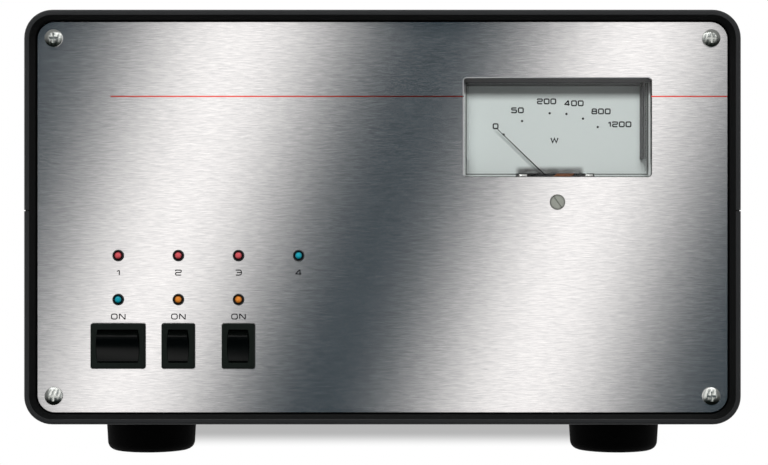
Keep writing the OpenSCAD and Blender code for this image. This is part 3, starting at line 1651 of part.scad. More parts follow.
module rf_transistors() {
  tab_t = 0.3;
  tab_l = 8;
  color("#d8c79a") plan_view() translate([0, 0, board_top]) at_devices() {
    translate([0, 0, -board_t / 2]) cube([device_w, device_l, board_t], center = true);
    translate([0, 0, lid_h / 2]) cube([device_w, lid_l, lid_h], center = true);
    translate([0, 0, tab_t / 2]) cube([device_w + 2 * tab_l, lid_l / 2, tab_t], center = true);
  }
}

module filter_box() {
  color("#b9bdc0") plan_view() translate([sink_x, filter_d, sink_v]) difference() {
    cube([filter_w, filter_l, filter_h]);
    translate([sheet_t, sheet_t, -cut])
      cube([filter_w - 2 * sheet_t, filter_l - 2 * sheet_t, filter_h - sheet_t + cut]);
  }
}

module changeover_relays() {
  color("#c7cacc") front_view() for (x = [output_x, input_x]) {
    translate([x, socket_row, relay_d]) linear_extrude(relay_l) rounded(relay_w, relay_w, 2);
  }
}

// Coaxial links
function way(a, b) = (b - a) / norm(b - a);

module link_straight(a, b) {
  w = way(a, b);
  turn = abs(w[2]) == 1 ? [w[2] > 0 ? 0 : 180, 0, 0] : [0, 90, atan2(w[1], w[0])];
  translate(a) rotate(turn) cylinder(r = link_r, h = norm(b - a));
}

module link_elbow(p, a, b) {
  c = p - a * link_bend + b * link_bend;
  n = cross(a, b);
  multmatrix([
    [-b[0], a[0], n[0], c[0]], [-b[1], a[1], n[1], c[1]], [-b[2], a[2], n[2], c[2]], [0, 0, 0, 1]
  ]) rotate_extrude(angle = 90) translate([link_bend, 0]) circle(link_r);
}

module link(points) {
  last = len(points) - 1;
  for (i = [0:last - 1]) {
    w = way(points[i], points[i + 1]);
    start = i == 0 ? 0 : link_bend;
    end = i == last - 1 ? 0 : link_bend;
    link_straight(points[i] + w * start, points[i + 1] - w * end);
  }
  for (i = [1:last - 1]) {
    link_elbow(points[i], way(points[i - 1], points[i]), way(points[i], points[i + 1]));
  }
}

module coax_links() {
  relay_mid = relay_d + relay_l / 2;
  relay_side = [relay_w / 2, 0, 0];
  output_end = filter_d + filter_l / 2 + link_off;
  feed_x = sink_x + filter_w + link_off;
  feed_d = spreader_d + spreader_l - feed_in;
  color("#b88a4a") plan_view() {
    link([
      [output_x, relay_d, socket_row], [output_x, output_end, socket_row],
      [sink_x, output_end, socket_row]
    ]);
    link([
      [input_x + relay_w / 2, relay_mid, socket_row], [feed_x, relay_mid, socket_row],
      [feed_x, feed_d, socket_row], [feed_x, feed_d, board_top]
    ]);
    link_straight(
      [output_x, relay_mid, socket_row] + relay_side, [input_x, relay_mid, socket_row] - relay_side
    );
  }
}

module control_board() {
  can_d1 = 16;
  can_h1 = 22;
  step = 36;
  chip = [20, 24, 9];
  v = deck_v + pillar_h;
  color("#2d5f46") plan_view() {
    translate([control_x, stage_front, v]) cube([control_w, control_l, board_t]);
    for (i = [0:4]) {
      translate([control_x + can_d1, stage_front + step * (i + 0.75), v + board_t])
        cylinder(d = can_d1, h = can_h1);
      translate([control_x + control_w / 2 + 2, stage_front + step * (i + 0.4), v + board_t]) cube(chip);
    }
  }
}

module supply_vents(d, l) {
  border = 12;
  slot_w = 3;
  slot_h = supply_h - 2 * border;
  pitch = 7;
  n = floor((supply_w - border) / pitch);
  first_x = supply_x + (supply_w - (n - 1) * pitch) / 2;
  for (i = [0:n - 1]) translate([first_x + i * pitch, d, deck_v + supply_h / 2])
    cube([slot_w, l, slot_h], center = true);
}

module power_supply() {
  color("#a2a6a9") plan_view() difference() {
    translate([supply_x, stage_front, deck_v]) cube([supply_w, stage_l, supply_h]);
    translate([supply_x + sheet_t, stage_front + sheet_t, deck_v + sheet_t])
      cube([supply_w - 2 * sheet_t, stage_l - 2 * sheet_t, supply_h - 2 * sheet_t]);
    supply_vents(stage_front, 4 * sheet_t);
    supply_vents(stage_front + stage_l, 4 * sheet_t);
  }
}

module power_switch_body() {
  switch_body(0);
}

module standby_switch_body() {
  switch_body(1);
}

module preamp_switch_body() {
  switch_body(2);
}

module power_rocker() {
  rocker(0);
}

module standby_rocker() {
  rocker(1);
}

module preamp_rocker() {
  rocker(2);
}

module fan_left_frame() {
  fan_frame(-1);
}

module fan_right_frame() {
  fan_frame(1);
}

module fan_left_rotor() {
  fan_rotor(-1);
}

module fan_right_rotor() {
  fan_rotor(1);
}

case_top();
case_bottom();
case_screws();
feet();
foot_screws();
front_panel();
rear_panel();
panel_screws();
power_switch_body();
power_rocker();
standby_switch_body();
standby_rocker();
preamp_switch_body();
preamp_rocker();
switch_terminals();
led_bezels();
red_leds();
blue_leds();
amber_leds();
led_board();
board_pillars();
meter_cover();
meter_base();
meter_dial();
meter_yoke();
meter_magnet();
meter_bridge();
meter_coil();
meter_pointer();
meter_hairspring();
meter_zero_screw();
meter_zero_lever();
meter_fixings();
fan_left_frame();
fan_left_rotor();
fan_right_frame();
fan_right_rotor();
fan_guards();
fan_screws();
rf_input_socket();
rf_output_socket();
socket_insulators();
socket_contacts();
socket_screws();
mains_inlet();
mains_pins();
fuse_drawer();
keying_socket();
earth_terminal();
chassis_plate();
chassis_screws();
heatsink();
heat_spreader();
rf_board();
rf_transistors();
filter_box();
changeover_relays();
coax_links();
control_board();
power_supply();
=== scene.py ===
import json
import math

import bmesh
import bpy
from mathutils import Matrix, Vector


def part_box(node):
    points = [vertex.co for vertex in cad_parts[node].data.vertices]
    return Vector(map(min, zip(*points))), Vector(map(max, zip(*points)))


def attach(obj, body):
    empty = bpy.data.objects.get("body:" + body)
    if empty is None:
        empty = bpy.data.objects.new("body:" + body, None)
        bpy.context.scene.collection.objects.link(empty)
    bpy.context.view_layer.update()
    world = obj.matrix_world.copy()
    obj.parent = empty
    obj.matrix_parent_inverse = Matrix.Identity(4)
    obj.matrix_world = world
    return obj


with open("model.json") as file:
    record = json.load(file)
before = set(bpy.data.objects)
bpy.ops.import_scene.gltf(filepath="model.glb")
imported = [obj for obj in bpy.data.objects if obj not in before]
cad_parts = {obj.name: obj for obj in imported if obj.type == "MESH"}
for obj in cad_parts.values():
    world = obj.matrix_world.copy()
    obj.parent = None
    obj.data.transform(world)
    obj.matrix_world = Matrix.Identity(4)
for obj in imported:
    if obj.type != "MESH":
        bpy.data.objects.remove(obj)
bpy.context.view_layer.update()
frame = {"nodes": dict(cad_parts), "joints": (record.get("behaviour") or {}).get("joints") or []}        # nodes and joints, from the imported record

scene = bpy.context.scene
nodes = frame["nodes"]
mm = 0.001
print("frame loaded:", len(nodes), "nodes")


# Places on the front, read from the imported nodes
def middle(node):
    low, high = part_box(node)
    return (low + high) / 2


panelLow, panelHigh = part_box("front_panel")
panelFace = panelLow.y
panelMiddle = middle("front_panel")
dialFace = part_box("meter_dial")[0].y
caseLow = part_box("case_bottom")[0]
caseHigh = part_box("case_top")[1]
windowHalf = 43.5 * mm              # half the meter window's width
windowDown = 28.8 * mm              # its middle, from the clear cover's top
windowMiddle = Vector((middle("meter_cover").x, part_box("meter_cover")[1].z - windowDown))
noiseSpan = (0.3, 0.7)              # most values of a noise lie between these


# Colours are written as they look on screen, 0 to 255
def tone(red, green, blue):
    def linear(value):
        share = value / 255
        return share / 12.92 if share <= 0.04045 else ((share + 0.055) / 1.055) ** 2.4
    return (linear(red), linear(green), linear(blue), 1.0)


class Wire:
    # A node's output that takes part in Python sums
    def __init__(self, paint, socket):
        self.paint = paint
        self.socket = socket

    def sum(self, operation, first, second):
        return self.paint.node("ShaderNodeMath", {"operation": operation}, {0: first, 1: second})

    def __add__(self, other):
        return self.sum("ADD", self, other)

    def __radd__(self, other):
        return self.sum("ADD", other, self)

    def __sub__(self, other):
        return self.sum("SUBTRACT", self, other)

    def __rsub__(self, other):
        return self.sum("SUBTRACT", other, self)

    def __mul__(self, other):
        return self.sum("MULTIPLY", self, other)

    def __rmul__(self, other):
        return self.sum("MULTIPLY", other, self)

    def __pow__(self, other):
        return self.sum("POWER", self, other)

    def __lt__(self, other):
        return self.sum("LESS_THAN", self, other)

    def __gt__(self, other):
        return self.sum("GREATER_THAN", self, other)

    def __abs__(self):
        return self.paint.node("ShaderNodeMath", {"operation": "ABSOLUTE"}, {0: self})


class Paint:
    # One material, or the world, and its node tree
    def __init__(self, name, world=False):
        self.owner = (bpy.data.worlds if world else bpy.data.materials).new(name)
        self.owner.use_nodes = True
        self.tree = self.owner.node_tree
        self.tree.nodes.clear()
        self.end = self.tree.nodes.new("ShaderNodeOutputWorld" if world else "ShaderNodeOutputMaterial")

    def node(self, kind, settings=None, sockets=None, out=0):
        made = self.tree.nodes.new(kind)
        for key, value in (settings or {}).items():
            if key == "stops":
                self.setStops(made.color_ramp, value)
            else:
                setattr(made, key, value)
        for key, value in (sockets or {}).items():
            if isinstance(value, Wire):
                self.tree.links.new(value.socket, made.inputs[key])
            else:
                made.inputs[key].default_value = value
        return Wire(self, made.outputs[out])

    def setStops(self, ramp, stops):
        while len(ramp.elements) < len(stops):
            ramp.elements.new(1.0)
        for element, (place, colour) in zip(ramp.elements, stops):
            element.position = place
            element.color = colour

    def place(self, scale=(1, 1, 1)):
        here = self.node("ShaderNodeTexCoord", out="Object")
        if scale == (1, 1, 1):
            return here
        return self.node("ShaderNodeVectorMath", {"operation": "MULTIPLY"}, {0: here, 1: scale})

    def axis(self, name):
        return self.node("ShaderNodeSeparateXYZ", None, {0: self.place()}, out=name)

    def facing(self, name, kind="True Normal"):
        # How far the surface looks along an axis, -1 to 1
        normal = self.node("ShaderNodeNewGeometry", out=kind)
        return self.node("ShaderNodeSeparateXYZ", None, {0: normal}, out=name)

    def ray(self, name):
        return self.node("ShaderNodeLightPath", out=name)

    def grain(self, scale, detail=2.0, rough=0.5):
        # Noise from 0 to 1; scale is grains per metre along X, Y and Z
        return self.node("ShaderNodeTexNoise", None,
                         {"Vector": self.place(scale), "Scale": 1.0, "Detail": detail, "Roughness": rough})

    def ramp(self, value, stops):
        return self.node("ShaderNodeValToRGB", {"stops": stops}, {0: value})

    def shades(self, noise, colour, dark, pale=1.0):
        # From a darker to a paler cast of one colour
        casts = [(*(Vector(colour[:3]) * share), 1.0) for share in (dark, pale)]
        return self.ramp(noise, list(zip(noiseSpan, casts)))

    def blend(self, factor, first, second):
        return self.node("ShaderNodeMix", {"data_type": "RGBA"}, {0: factor, 6: first, 7: second}, out=2)

    def mix(self, factor, first, second):
        return self.node("ShaderNodeMixShader", None, {0: factor, 1: first, 2: second})

    def step(self, value, start, end):
        # 0 at start, 1 at end, smooth between
        return self.node("ShaderNodeMapRange", {"interpolation_type": "SMOOTHSTEP"},
                         {"Value": value, "From Min": start, "From Max": end})

    def bump(self, height, depth, strength=1.0):
        return self.node("ShaderNodeBump", None,
                         {"Height": height, "Distance": depth, "Strength": strength})

    def surface(self, **values):
        sockets = {socketNames[key]: value for key, value in values.items()}
        return self.node("ShaderNodeBsdfPrincipled", None, sockets)

    def finish(self, shader):
        self.tree.links.new(shader.socket, self.end.inputs["Surface"])
        return self.owner


socketNames = {
    "colour": "Base Color", "metal": "Metallic", "rough": "Roughness", "normal": "Normal",
    "gloss": "Specular IOR Level", "ior": "IOR", "clear": "Transmission Weight",
    "coat": "Coat Weight", "coatRough": "Coat Roughness", "along": "Anisotropic",
    "turn": "Anisotropic Rotation",
}


# Camera: level with the middle of the photograph's frame, square to the panel
cameraSetup = {
    "frameWide": 768,
    "panelScale": 0.464 * mm,       # width of one pixel on the panel's face
    "axisX": 0.7 * mm,
    "axisZ": 104.4 * mm,
    "distance": 0.90,               # from the panel's face
    "nearest": 0.01,
    "sensor": 36.0,
}


def makeCamera(setup):
    lens = bpy.data.cameras.new("frontCamera")
    seen = setup["frameWide"] * setup["panelScale"]
    lens.sensor_width = setup["sensor"]
    lens.lens = setup["sensor"] * setup["distance"] / seen
    lens.clip_start = setup["nearest"]
    lens.dof.use_dof = False
    camera = bpy.data.objects.new("frontCamera", lens)
    camera.location = (setup["axisX"], panelFace - setup["distance"], setup["axisZ"])
    camera.rotation_euler = (math.radians(90), 0, 0)
    scene.collection.objects.link(camera)
    scene.camera = camera
    print("camera:", round(lens.lens, 1), "mm lens")


# Light: a key softbox above the camera, side and rear softboxes, and a pale room
lightSetup = {
    "key": {"at": (-0.10, -1.75, 1.15), "to": (0.0, -0.15, 0.12), "size": (1.40, 0.42), "power": 30.0},
    "top": {"at": (0.0, 0.48, 1.70), "to": (0.0, 0.05, 0.2), "size": (1.3, 1.1), "power": 12.0},
    "left": {"at": (-1.70, 0.34, 0.75), "to": (0.0, 0.0, 0.1), "size": (0.9, 1.2), "power": 9.0},
    "right": {"at": (1.70, 0.34, 0.75), "to": (0.0, 0.0, 0.1), "size": (0.9, 1.2), "power": 9.0},
    "rear": {"at": (0.20, 1.80, 0.85), "to": (0.0, 0.1, 0.1), "size": (1.2, 0.9), "power": 11.0},
}
roomLight = 0.04


def makeLight(name, setup):
    lamp = bpy.data.lights.new(name + "Softbox", "AREA")
    lamp.shape = "RECTANGLE"
    lamp.size, lamp.size_y = setup["size"]
    lamp.energy = setup["power"]
    box = bpy.data.objects.new(name + "Softbox", lamp)
    box.location = setup["at"]
    aim = Vector(setup["to"]) - Vector(setup["at"])
    box.rotation_euler = aim.to_track_quat("-Z", "Y").to_euler()
    box.visible_glossy = False
    scene.collection.objects.link(box)


def makeRoom(strength):
    paint = Paint("paleRoom", world=True)
    seen = paint.ray("Is Camera Ray") + paint.ray("Is Glossy Ray") + paint.ray("Is Transmission Ray")
    plain = {"Color": (1, 1, 1, 1), "Strength": 1.0}
    soft = paint.node("ShaderNodeBackground", None, {**plain, "Strength": strength})
    white = paint.node("ShaderNodeBackground", None, plain)
    scene.world = paint.finish(paint.mix(seen, soft, white))


def makeSheet(name, corners, material):
    # One flat face for the card or the floor
    material.cycles.emission_sampling = "NONE"
    mesh = bpy.data.meshes.new(name)
    mesh.from_pydata(corners, [], [(0, 1, 2, 3)])
    mesh.materials.append(material)
    sheet = bpy.data.objects.new(name, mesh)
    scene.collection.objects.link(sheet)
    return sheet


# A graded card in front of the panel, seen only in reflections
cardSetup = {
    "ahead": 0.30,                  # from the panel's face
    "wide": 0.75,                   # to each side
    "low": -2.5,
    "high": 0.60,
    "period": 0.250,                # from one bright band to the next
    "slant": 0.325,                 # run of a band for each unit of height
    "brightAt": -0.131,             # middle of a bright band, level with the camera
    "dark": (0.008, 0.022, 0.032, 1),
    "bright": (1.0, 0.978, 0.968, 1),
    "strength": 1.9,
    "darkBelow": (-0.34, -0.20),    # heights between which the card fades, from the camera's
    "stripAbove": (0.36, 0.44),     # a white strip at the card's top lights ridges and domes
    "strip": (1.7, 1.7, 1.7, 1),
    "power": 1.65,
}


def makeCard(setup):
    paint = Paint("gradedCard")
    run = paint.axis("X") - paint.axis("Z") * setup["slant"] - setup["brightAt"]
    wave = paint.node("ShaderNodeMath", {"operation": "COSINE"}, {0: run * (2 * math.pi / setup["period"])})
    lit = paint.step(paint.axis("Z"), *setup["darkBelow"])
    bands = paint.blend((wave * 0.5 + 0.5) ** setup["power"] * lit, setup["dark"], setup["bright"])
    strip = paint.step(paint.axis("Z"), *setup["stripAbove"])
    colour = paint.blend(strip, bands, setup["strip"])
    glow = paint.node("ShaderNodeEmission", None, {"Color": colour, "Strength": setup["strength"]})
    wide, low, high = setup["wide"], setup["low"], setup["high"]
    corners = [(-wide, 0, low), (wide, 0, low), (wide, 0, high), (-wide, 0, high)]
    card = makeSheet("reflectionCard", corners, paint.finish(glow))
    card.location = (cameraSetup["axisX"], panelFace - setup["ahead"], cameraSetup["axisZ"])
    card.visible_camera = False
    card.visible_diffuse = False
    card.visible_shadow = False
    card.visible_transmission = False
    card.visible_volume_scatter = False


floorSetup = {
    "half": 6.0,
    "colour": tone(128, 128, 128),
    "lift": 0.46,                   # share of plain white that keeps the shadow pale
    "shadowWide": (0.100, 0.145),   # the floor turns plain white between these distances to a side
    "shadowFront": (0.060, 0.135),  # and to the front
    "shadowRear": (0.20, 0.45),
}


def makeFloor(setup):
    paint = Paint("paleFloor")
    side = 1 - paint.step(abs(paint.axis("X")), *setup["shadowWide"])
    front = 1 - paint.step(0 - paint.axis("Y"), *setup["shadowFront"])
    rear = 1 - paint.step(paint.axis("Y"), *setup["shadowRear"])
    fade = 1 - side * front * rear
    matt = paint.node("ShaderNodeBsdfDiffuse", None, {"Color": setup["colour"]})
    white = paint.node("ShaderNodeEmission", None, {"Strength": 1.0})
    seen = paint.ray("Is Camera Ray") + paint.ray("Is Transmission Ray")
    shown = seen * (fade * (1 - setup["lift"]) + setup["lift"])
    half = setup["half"]
    corners = [(-half, -half, 0), (half, -half, 0), (half, half, 0), (-half, half, 0)]
    floor = makeSheet("floor", corners, paint.finish(paint.mix(shown, matt, white)))
    floor.visible_glossy = False


scene.view_settings.view_transform = "Standard"
makeCamera(cameraSetup)
makeRoom(roomLight)
for lightName, oneLight in lightSetup.items():
    makeLight(lightName, oneLight)
makeCard(cardSetup)
makeFloor(floorSetup)
print("stage ready")


# Finishes
brushedSetup = {
    "colour": tone(214, 213, 212),
    "shadeColour": tone(175, 175, 176),
    "rough": 0.215,
    "along": 0.85,
    "lines": (220, 220, 3000),      # streaks per metre
    "longLines": (130, 130, 3600),
    "fineShare": 0.65,              # of the shorter streaks
    "spread": 0.03,                 # of roughness from streak to streak
    "turn": 0.25,                   # of the brushing, in whole turns
    "depth": 0.0000005,
    "bump": 0.35,
    "bevelSlope": (-0.7, 0.2),      # the window's cut edge looks this far along Y, give or take
    "bevelColour": tone(238, 238, 240),     # and a painted highlight makes it pale along its left and top
    "bevelRough": 0.55,
    "bevelMetal": 0.3,
}


def brushedMetal(name, setup):
    paint = Paint(name)
    slope, margin = setup["bevelSlope"]
    outward = {0: paint.facing("Y"), 1: slope, 2: margin}
    sloped = paint.node("ShaderNodeMath", {"operation": "COMPARE"}, outward)
    # Painted highlight: the cut edge's faces that look right or down are pale
    paintedBevelHighlight = sloped * (paint.facing("X") - paint.facing("Z") > 0.0)
    fine = paint.grain(setup["lines"], 3.0, 0.6)
    long = paint.grain(setup["longLines"])
    streak = fine * setup["fineShare"] + long * (1 - setup["fineShare"])
    flat = paint.ramp(streak, list(zip(noiseSpan, (setup["shadeColour"], setup["colour"]))))
    colour = paint.blend(paintedBevelHighlight, flat, setup["bevelColour"])
    rough = streak * setup["spread"] + (setup["rough"] - setup["spread"] / 2)
    return paint.finish(paint.surface(
        colour=colour, metal=1 - paintedBevelHighlight * (1 - setup["bevelMetal"]),
        rough=rough * (1 - paintedBevelHighlight) + paintedBevelHighlight * setup["bevelRough"], along=setup["along"], turn=setup["turn"],
        normal=paint.bump(fine, setup["depth"], setup["bump"])))


plasticSetup = {
    "case": {"colour": tone(37, 38, 39), "rough": 0.55, "gloss": 0.24, "grain": 3200, "depth": 0.00003},
    # painted shade for the recess inside the case's openings
    "mouth": {"colour": tone(14, 15, 15), "rough": 0.7, "gloss": 0.06, "grain": 3200, "depth": 0.00003},
    "foot": {"colour": tone(7, 7, 7), "rough": 0.85, "gloss": 0.06, "grain": 2500, "depth": 0.00003},
    "switch": {"colour": tone(17, 23, 20), "rough": 0.45, "gloss": 0.10, "grain": 5000, "depth": 0.00001},
    "rocker": {"colour": tone(4, 6, 5), "rough": 0.24, "gloss": 0.13, "grain": 4500, "depth": 0.000006},
    "bezel": {"colour": tone(40, 43, 44), "rough": 0.4, "gloss": 0.35, "grain": 6000, "depth": 0.000004},
    "meter": {"colour": tone(62, 62, 63), "rough": 0.5, "gloss": 0.3, "grain": 3000, "depth": 0.00001},
    "fan": {"colour": tone(28, 28, 29), "rough": 0.5, "gloss": 0.4, "grain": 3000, "depth": 0.00001},
    "mains": {"colour": tone(22, 22, 23), "rough": 0.42, "gloss": 0.35, "grain": 4000, "depth": 0.00001},
    "insulator": {"colour": tone(232, 229, 220), "rough": 0.55, "gloss": 0.4, "grain": 2000,
                  "depth": 0.00001},
}
plasticGrain = {"cloud": (25, 25, 25), "speckShare": 0.6, "dark": 0.82, "pale": 1.18,
                "spread": 0.16, "bump": 0.6}


def plasticSurface(paint, setup):
    look = plasticGrain
    speck = paint.grain((setup["grain"],) * 3, 2.0, 0.6)
    cloud = paint.grain(look["cloud"])
    patches = speck * look["speckShare"] + cloud * (1 - look["speckShare"])
    return paint.surface(
        colour=paint.shades(patches, setup["colour"], look["dark"], look["pale"]),
        rough=speck * look["spread"] + (setup["rough"] - look["spread"] / 2), gloss=setup["gloss"],
        normal=paint.bump(speck, setup["depth"], look["bump"]))


def mouldedPlastic(name, setup):
    paint = Paint(name)
    return paint.finish(plasticSurface(paint, setup))


# Painted shade: the case is darker and matt inside its two openings, in the recess round each panel: depth
# of the rim, low side and high side
mouthRim = {"X": (1.7 * mm, 1.7 * mm), "Y": (0.35 * mm, 0.35 * mm), "Z": (2.5 * mm, 1.6 * mm)}


def caseMaterial(skin, mouth):
    paint = Paint("casePlastic")
    inside = 1
    for axis, lowest, highest in zip("XYZ", caseLow, caseHigh):
        first, last = mouthRim[axis]
        start, end = lowest + first, highest - last
        inside = inside * (abs(paint.axis(axis) - (start + end) / 2) < (end - start) / 2)
    return paint.finish(paint.mix(inside, plasticSurface(paint, skin), plasticSurface(paint, mouth)))


metalSetup = {
    "screw": {"colour": tone(198, 199, 190), "rough": 0.22, "grain": (900, 900, 900)},
    "sheet": {"colour": tone(176, 178, 180), "rough": 0.42, "grain": (60, 60, 1400)},
    "aluminium": {"colour": tone(196, 198, 200), "rough": 0.36, "grain": (1200, 40, 1200)},
    "iron": {"colour": tone(110, 111, 114), "rough": 0.45, "grain": (800, 800, 800)},
    "bridge": {"colour": tone(216, 216, 214), "rough": 0.3, "grain": (900, 60, 900)},
    "copper": {"colour": tone(206, 128, 84), "rough": 0.32, "grain": (300, 300, 300)},
    "bronze": {"colour": tone(190, 142, 84), "rough": 0.3, "grain": (500, 500, 500)},
    "brass": {"colour": tone(212, 176, 104), "rough": 0.3, "grain": (500, 500, 500)},
    "gold": {"colour": tone(226, 186, 102), "rough": 0.22, "grain": (500, 500, 500)},
    "nickel": {"colour": tone(206, 202, 192), "rough": 0.2, "grain": (700, 700, 700)},
    "wire": {"colour": tone(212, 212, 212), "rough": 0.18, "grain": (600, 600, 600)},
    "pin": {"colour": tone(208, 206, 200), "rough": 0.26, "grain": (90, 900, 900)},
    "tin": {"colour": tone(196, 197, 198), "rough": 0.4, "grain": (200, 200, 200)},
}
metalGrain = {"dark": 0.86, "spread": 0.14, "depth": 0.000004, "bump": 0.4}


def plainMetal(name, setup):
    look = metalGrain
    paint = Paint(name)
    grain = paint.grain(setup["grain"], 3.0, 0.6)
    return paint.finish(paint.surface(
        colour=paint.shades(grain, setup["colour"], look["dark"]), metal=1.0,
        rough=grain * look["spread"] + (setup["rough"] - look["spread"] / 2),
        normal=paint.bump(grain, look["depth"], look["bump"])))


headSetup = {"colour": tone(214, 217, 212), "under": tone(40, 46, 40), "metal": 0.68, "rough": 0.19,
             "spread": 0.1, "scuff": (900, 900, 900), "paintedShadeFrom": 0.12, "paintedShadeTo": -0.40, "ragged": 0.2}


# Panel screw heads: bright above, with painted shade on the sides that look down
def screwHead(name, setup):
    paint = Paint(name)
    scuff = paint.grain(setup["scuff"], 3.0, 0.6)
    lean = paint.facing("Z", "Normal") + scuff * setup["ragged"] - setup["ragged"] / 2
    # painted shade, darker where the head's surface looks down
    paintedShade = paint.step(lean, setup["paintedShadeFrom"], setup["paintedShadeTo"])
    return paint.finish(paint.surface(
        colour=paint.blend(paintedShade, setup["colour"], setup["under"]), metal=setup["metal"],
        rough=scuff * setup["spread"] + (setup["rough"] - setup["spread"] / 2),
        normal=paint.bump(scuff, metalGrain["depth"], metalGrain["bump"])))


# Zero screw: painted shade darkens its head towards the rim, over a random tarnish
zeroSetup = {"colour": tone(162, 165, 156), "rim": tone(88, 90, 85), "metal": 0.35, "rough": 0.42,
             "spread": 0.1, "gloss": 0.4, "tarnish": (700, 700, 700), "tarnishShare": 0.3,
             "rimFrom": 0.70, "rimTo": 1.02, "rimShare": 0.85, "depth": 0.000006, "bump": 0.4}


def zeroScrewMetal(name, setup):
    paint = Paint(name)
    low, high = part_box("meter_zero_screw")
    centre = (low + high) / 2
    across = paint.axis("X") - centre.x
    up = paint.axis("Z") - centre.z
    reach = (across * across + up * up) ** 0.5
    radius = (high.x - low.x) / 2
    tarnish = paint.grain(setup["tarnish"])
    # painted shade at the rim of the head
    edge = paint.step(reach, radius * setup["rimFrom"], radius * setup["rimTo"])
    rimShadeAndTarnish = edge * setup["rimShare"] + tarnish * setup["tarnishShare"] - setup["tarnishShare"] / 3
    return paint.finish(paint.surface(
        colour=paint.blend(rimShadeAndTarnish, setup["colour"], setup["rim"]), metal=setup["metal"], gloss=setup["gloss"],
        rough=tarnish * setup["spread"] + (setup["rough"] - setup["spread"] / 2),
        normal=paint.bump(tarnish, setup["depth"], setup["bump"])))


# Lamp lenses: painted shade, each colour pale at the dome's tip and dark at its rim
lampSetup = {
    "red": {"tip": tone(228, 90, 98), "rim": tone(58, 16, 20)},
    "blue": {"tip": tone(4, 168, 188), "rim": tone(6, 38, 48)},
    "amber": {"tip": tone(244, 148, 50), "rim": tone(70, 36, 10)},
}
lampGlass = {"tall": 1.9 * mm, "haze": (1500, 1500, 1500), "hazeShare": 0.15, "tipEnds": 0.18,
             "rimStarts": 0.54, "rough": 0.16, "spread": 0.08, "gloss": 0.25, "coat": 0.12,
             "coatRough": 0.08, "depth": 0.000004, "bump": 0.3}


def lampLens(name, setup):
    look = lampGlass
    paint = Paint(name)
    down = paint.node("ShaderNodeMapRange", None, {
        "Value": paint.axis("Y"), "From Min": panelFace - look["tall"], "From Max": panelFace})
    haze = paint.grain(look["haze"])
    # painted shade from the dome's tip to its rim
    colour = paint.ramp(down * (1 - look["hazeShare"]) + haze * look["hazeShare"],
                        [(look["tipEnds"], setup["tip"]), (look["rimStarts"], setup["rim"])])
    return paint.finish(paint.surface(
        colour=colour, rough=haze * look["spread"] + look["rough"], gloss=look["gloss"], coat=look["coat"],
        coatRough=look["coatRough"], normal=paint.bump(haze, look["depth"], look["bump"])))


boardSetup = {"mask": tone(38, 96, 58), "track": tone(58, 122, 74), "tracks": (500, 60, 500),
              "trackEdge": (0.46, 0.52), "rough": 0.32, "spread": 0.1, "gloss": 0.5}


def circuitBoard(name, setup):
    paint = Paint(name)
    track = paint.grain(setup["tracks"], 1.0, 0.3)
    colour = paint.ramp(track, list(zip(setup["trackEdge"], (setup["mask"], setup["track"]))))
    rough = track * setup["spread"] + setup["rough"]
    return paint.finish(paint.surface(colour=colour, rough=rough, gloss=setup["gloss"]))


acrylicSetup = {"tint": tone(253, 254, 253), "ior": 1.2, "rough": 0.02, "spread": 0.02,
                "smears": (60, 60, 60)}


def clearAcrylic(name, setup):
    # Light for the dial passes straight through
    paint = Paint(name)
    smear = paint.grain(setup["smears"])
    body = paint.surface(colour=setup["tint"], rough=smear * setup["spread"] + setup["rough"],
                         ior=setup["ior"], clear=1.0)
    passing = paint.node("ShaderNodeBsdfTransparent", None, {"Color": setup["tint"]})
    return paint.finish(paint.mix(paint.ray("Is Shadow Ray") + paint.ray("Is Diffuse Ray"), body, passing))


paintSetup = {
    "dial": {"colour": tone(221, 227, 227), "rough": 0.6, "gloss": 0.08, "grain": 2600},
    "pointer": {"colour": tone(14, 14, 15), "rough": 0.5, "gloss": 0.1, "grain": 2600},
    "ink": {"colour": tone(22, 22, 25), "rough": 0.55, "gloss": 0.1, "grain": 3000},
    "ceramic": {"colour": tone(226, 220, 206), "rough": 0.5, "gloss": 0.4, "grain": 1500},
}
paintGrain = {"dark": 0.95, "pale": 1.03, "spread": 0.1, "depth": 0.000003, "bump": 0.3}


def mattPaint(name, setup, shade=None, shadeColour=None):
    look = paintGrain
    paint = Paint(name)
    speck = paint.grain((setup["grain"],) * 3)
    colour = paint.shades(speck, setup["colour"], look["dark"], look["pale"])
    if shade:
        colour = paint.blend(shade(paint), colour, shadeColour)
    return paint.finish(paint.surface(
        colour=colour, rough=speck * look["spread"] + (setup["rough"] - look["spread"] / 2),
        gloss=setup["gloss"], normal=paint.bump(speck, look["depth"], look["bump"])))


# Painted shade on the dial: a soft grey band over the gap that shows the movement, standing in for the
# movement's blurred reflection
dialShade = {"aside": -2.5 * mm, "half": 16.8 * mm, "up": 4.6 * mm, "soft": 2.8 * mm,
             "colour": tone(62, 60, 60), "most": 0.85, "clouds": (260, 260, 700), "cloudShare": 0.6}


def movementShade(paint):
    look = dialShade
    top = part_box("meter_bridge")[1].z + look["up"]
    away = abs(paint.axis("X") - (middle("meter_dial").x + look["aside"]))
    across = paint.step(away, look["half"], look["half"] - look["soft"])
    upward = paint.step(paint.axis("Z"), top, top - look["soft"])
    cloud = paint.grain(look["clouds"])
    return across * upward * (cloud * look["cloudShare"] + (look["most"] - look["cloudShare"] / 2))


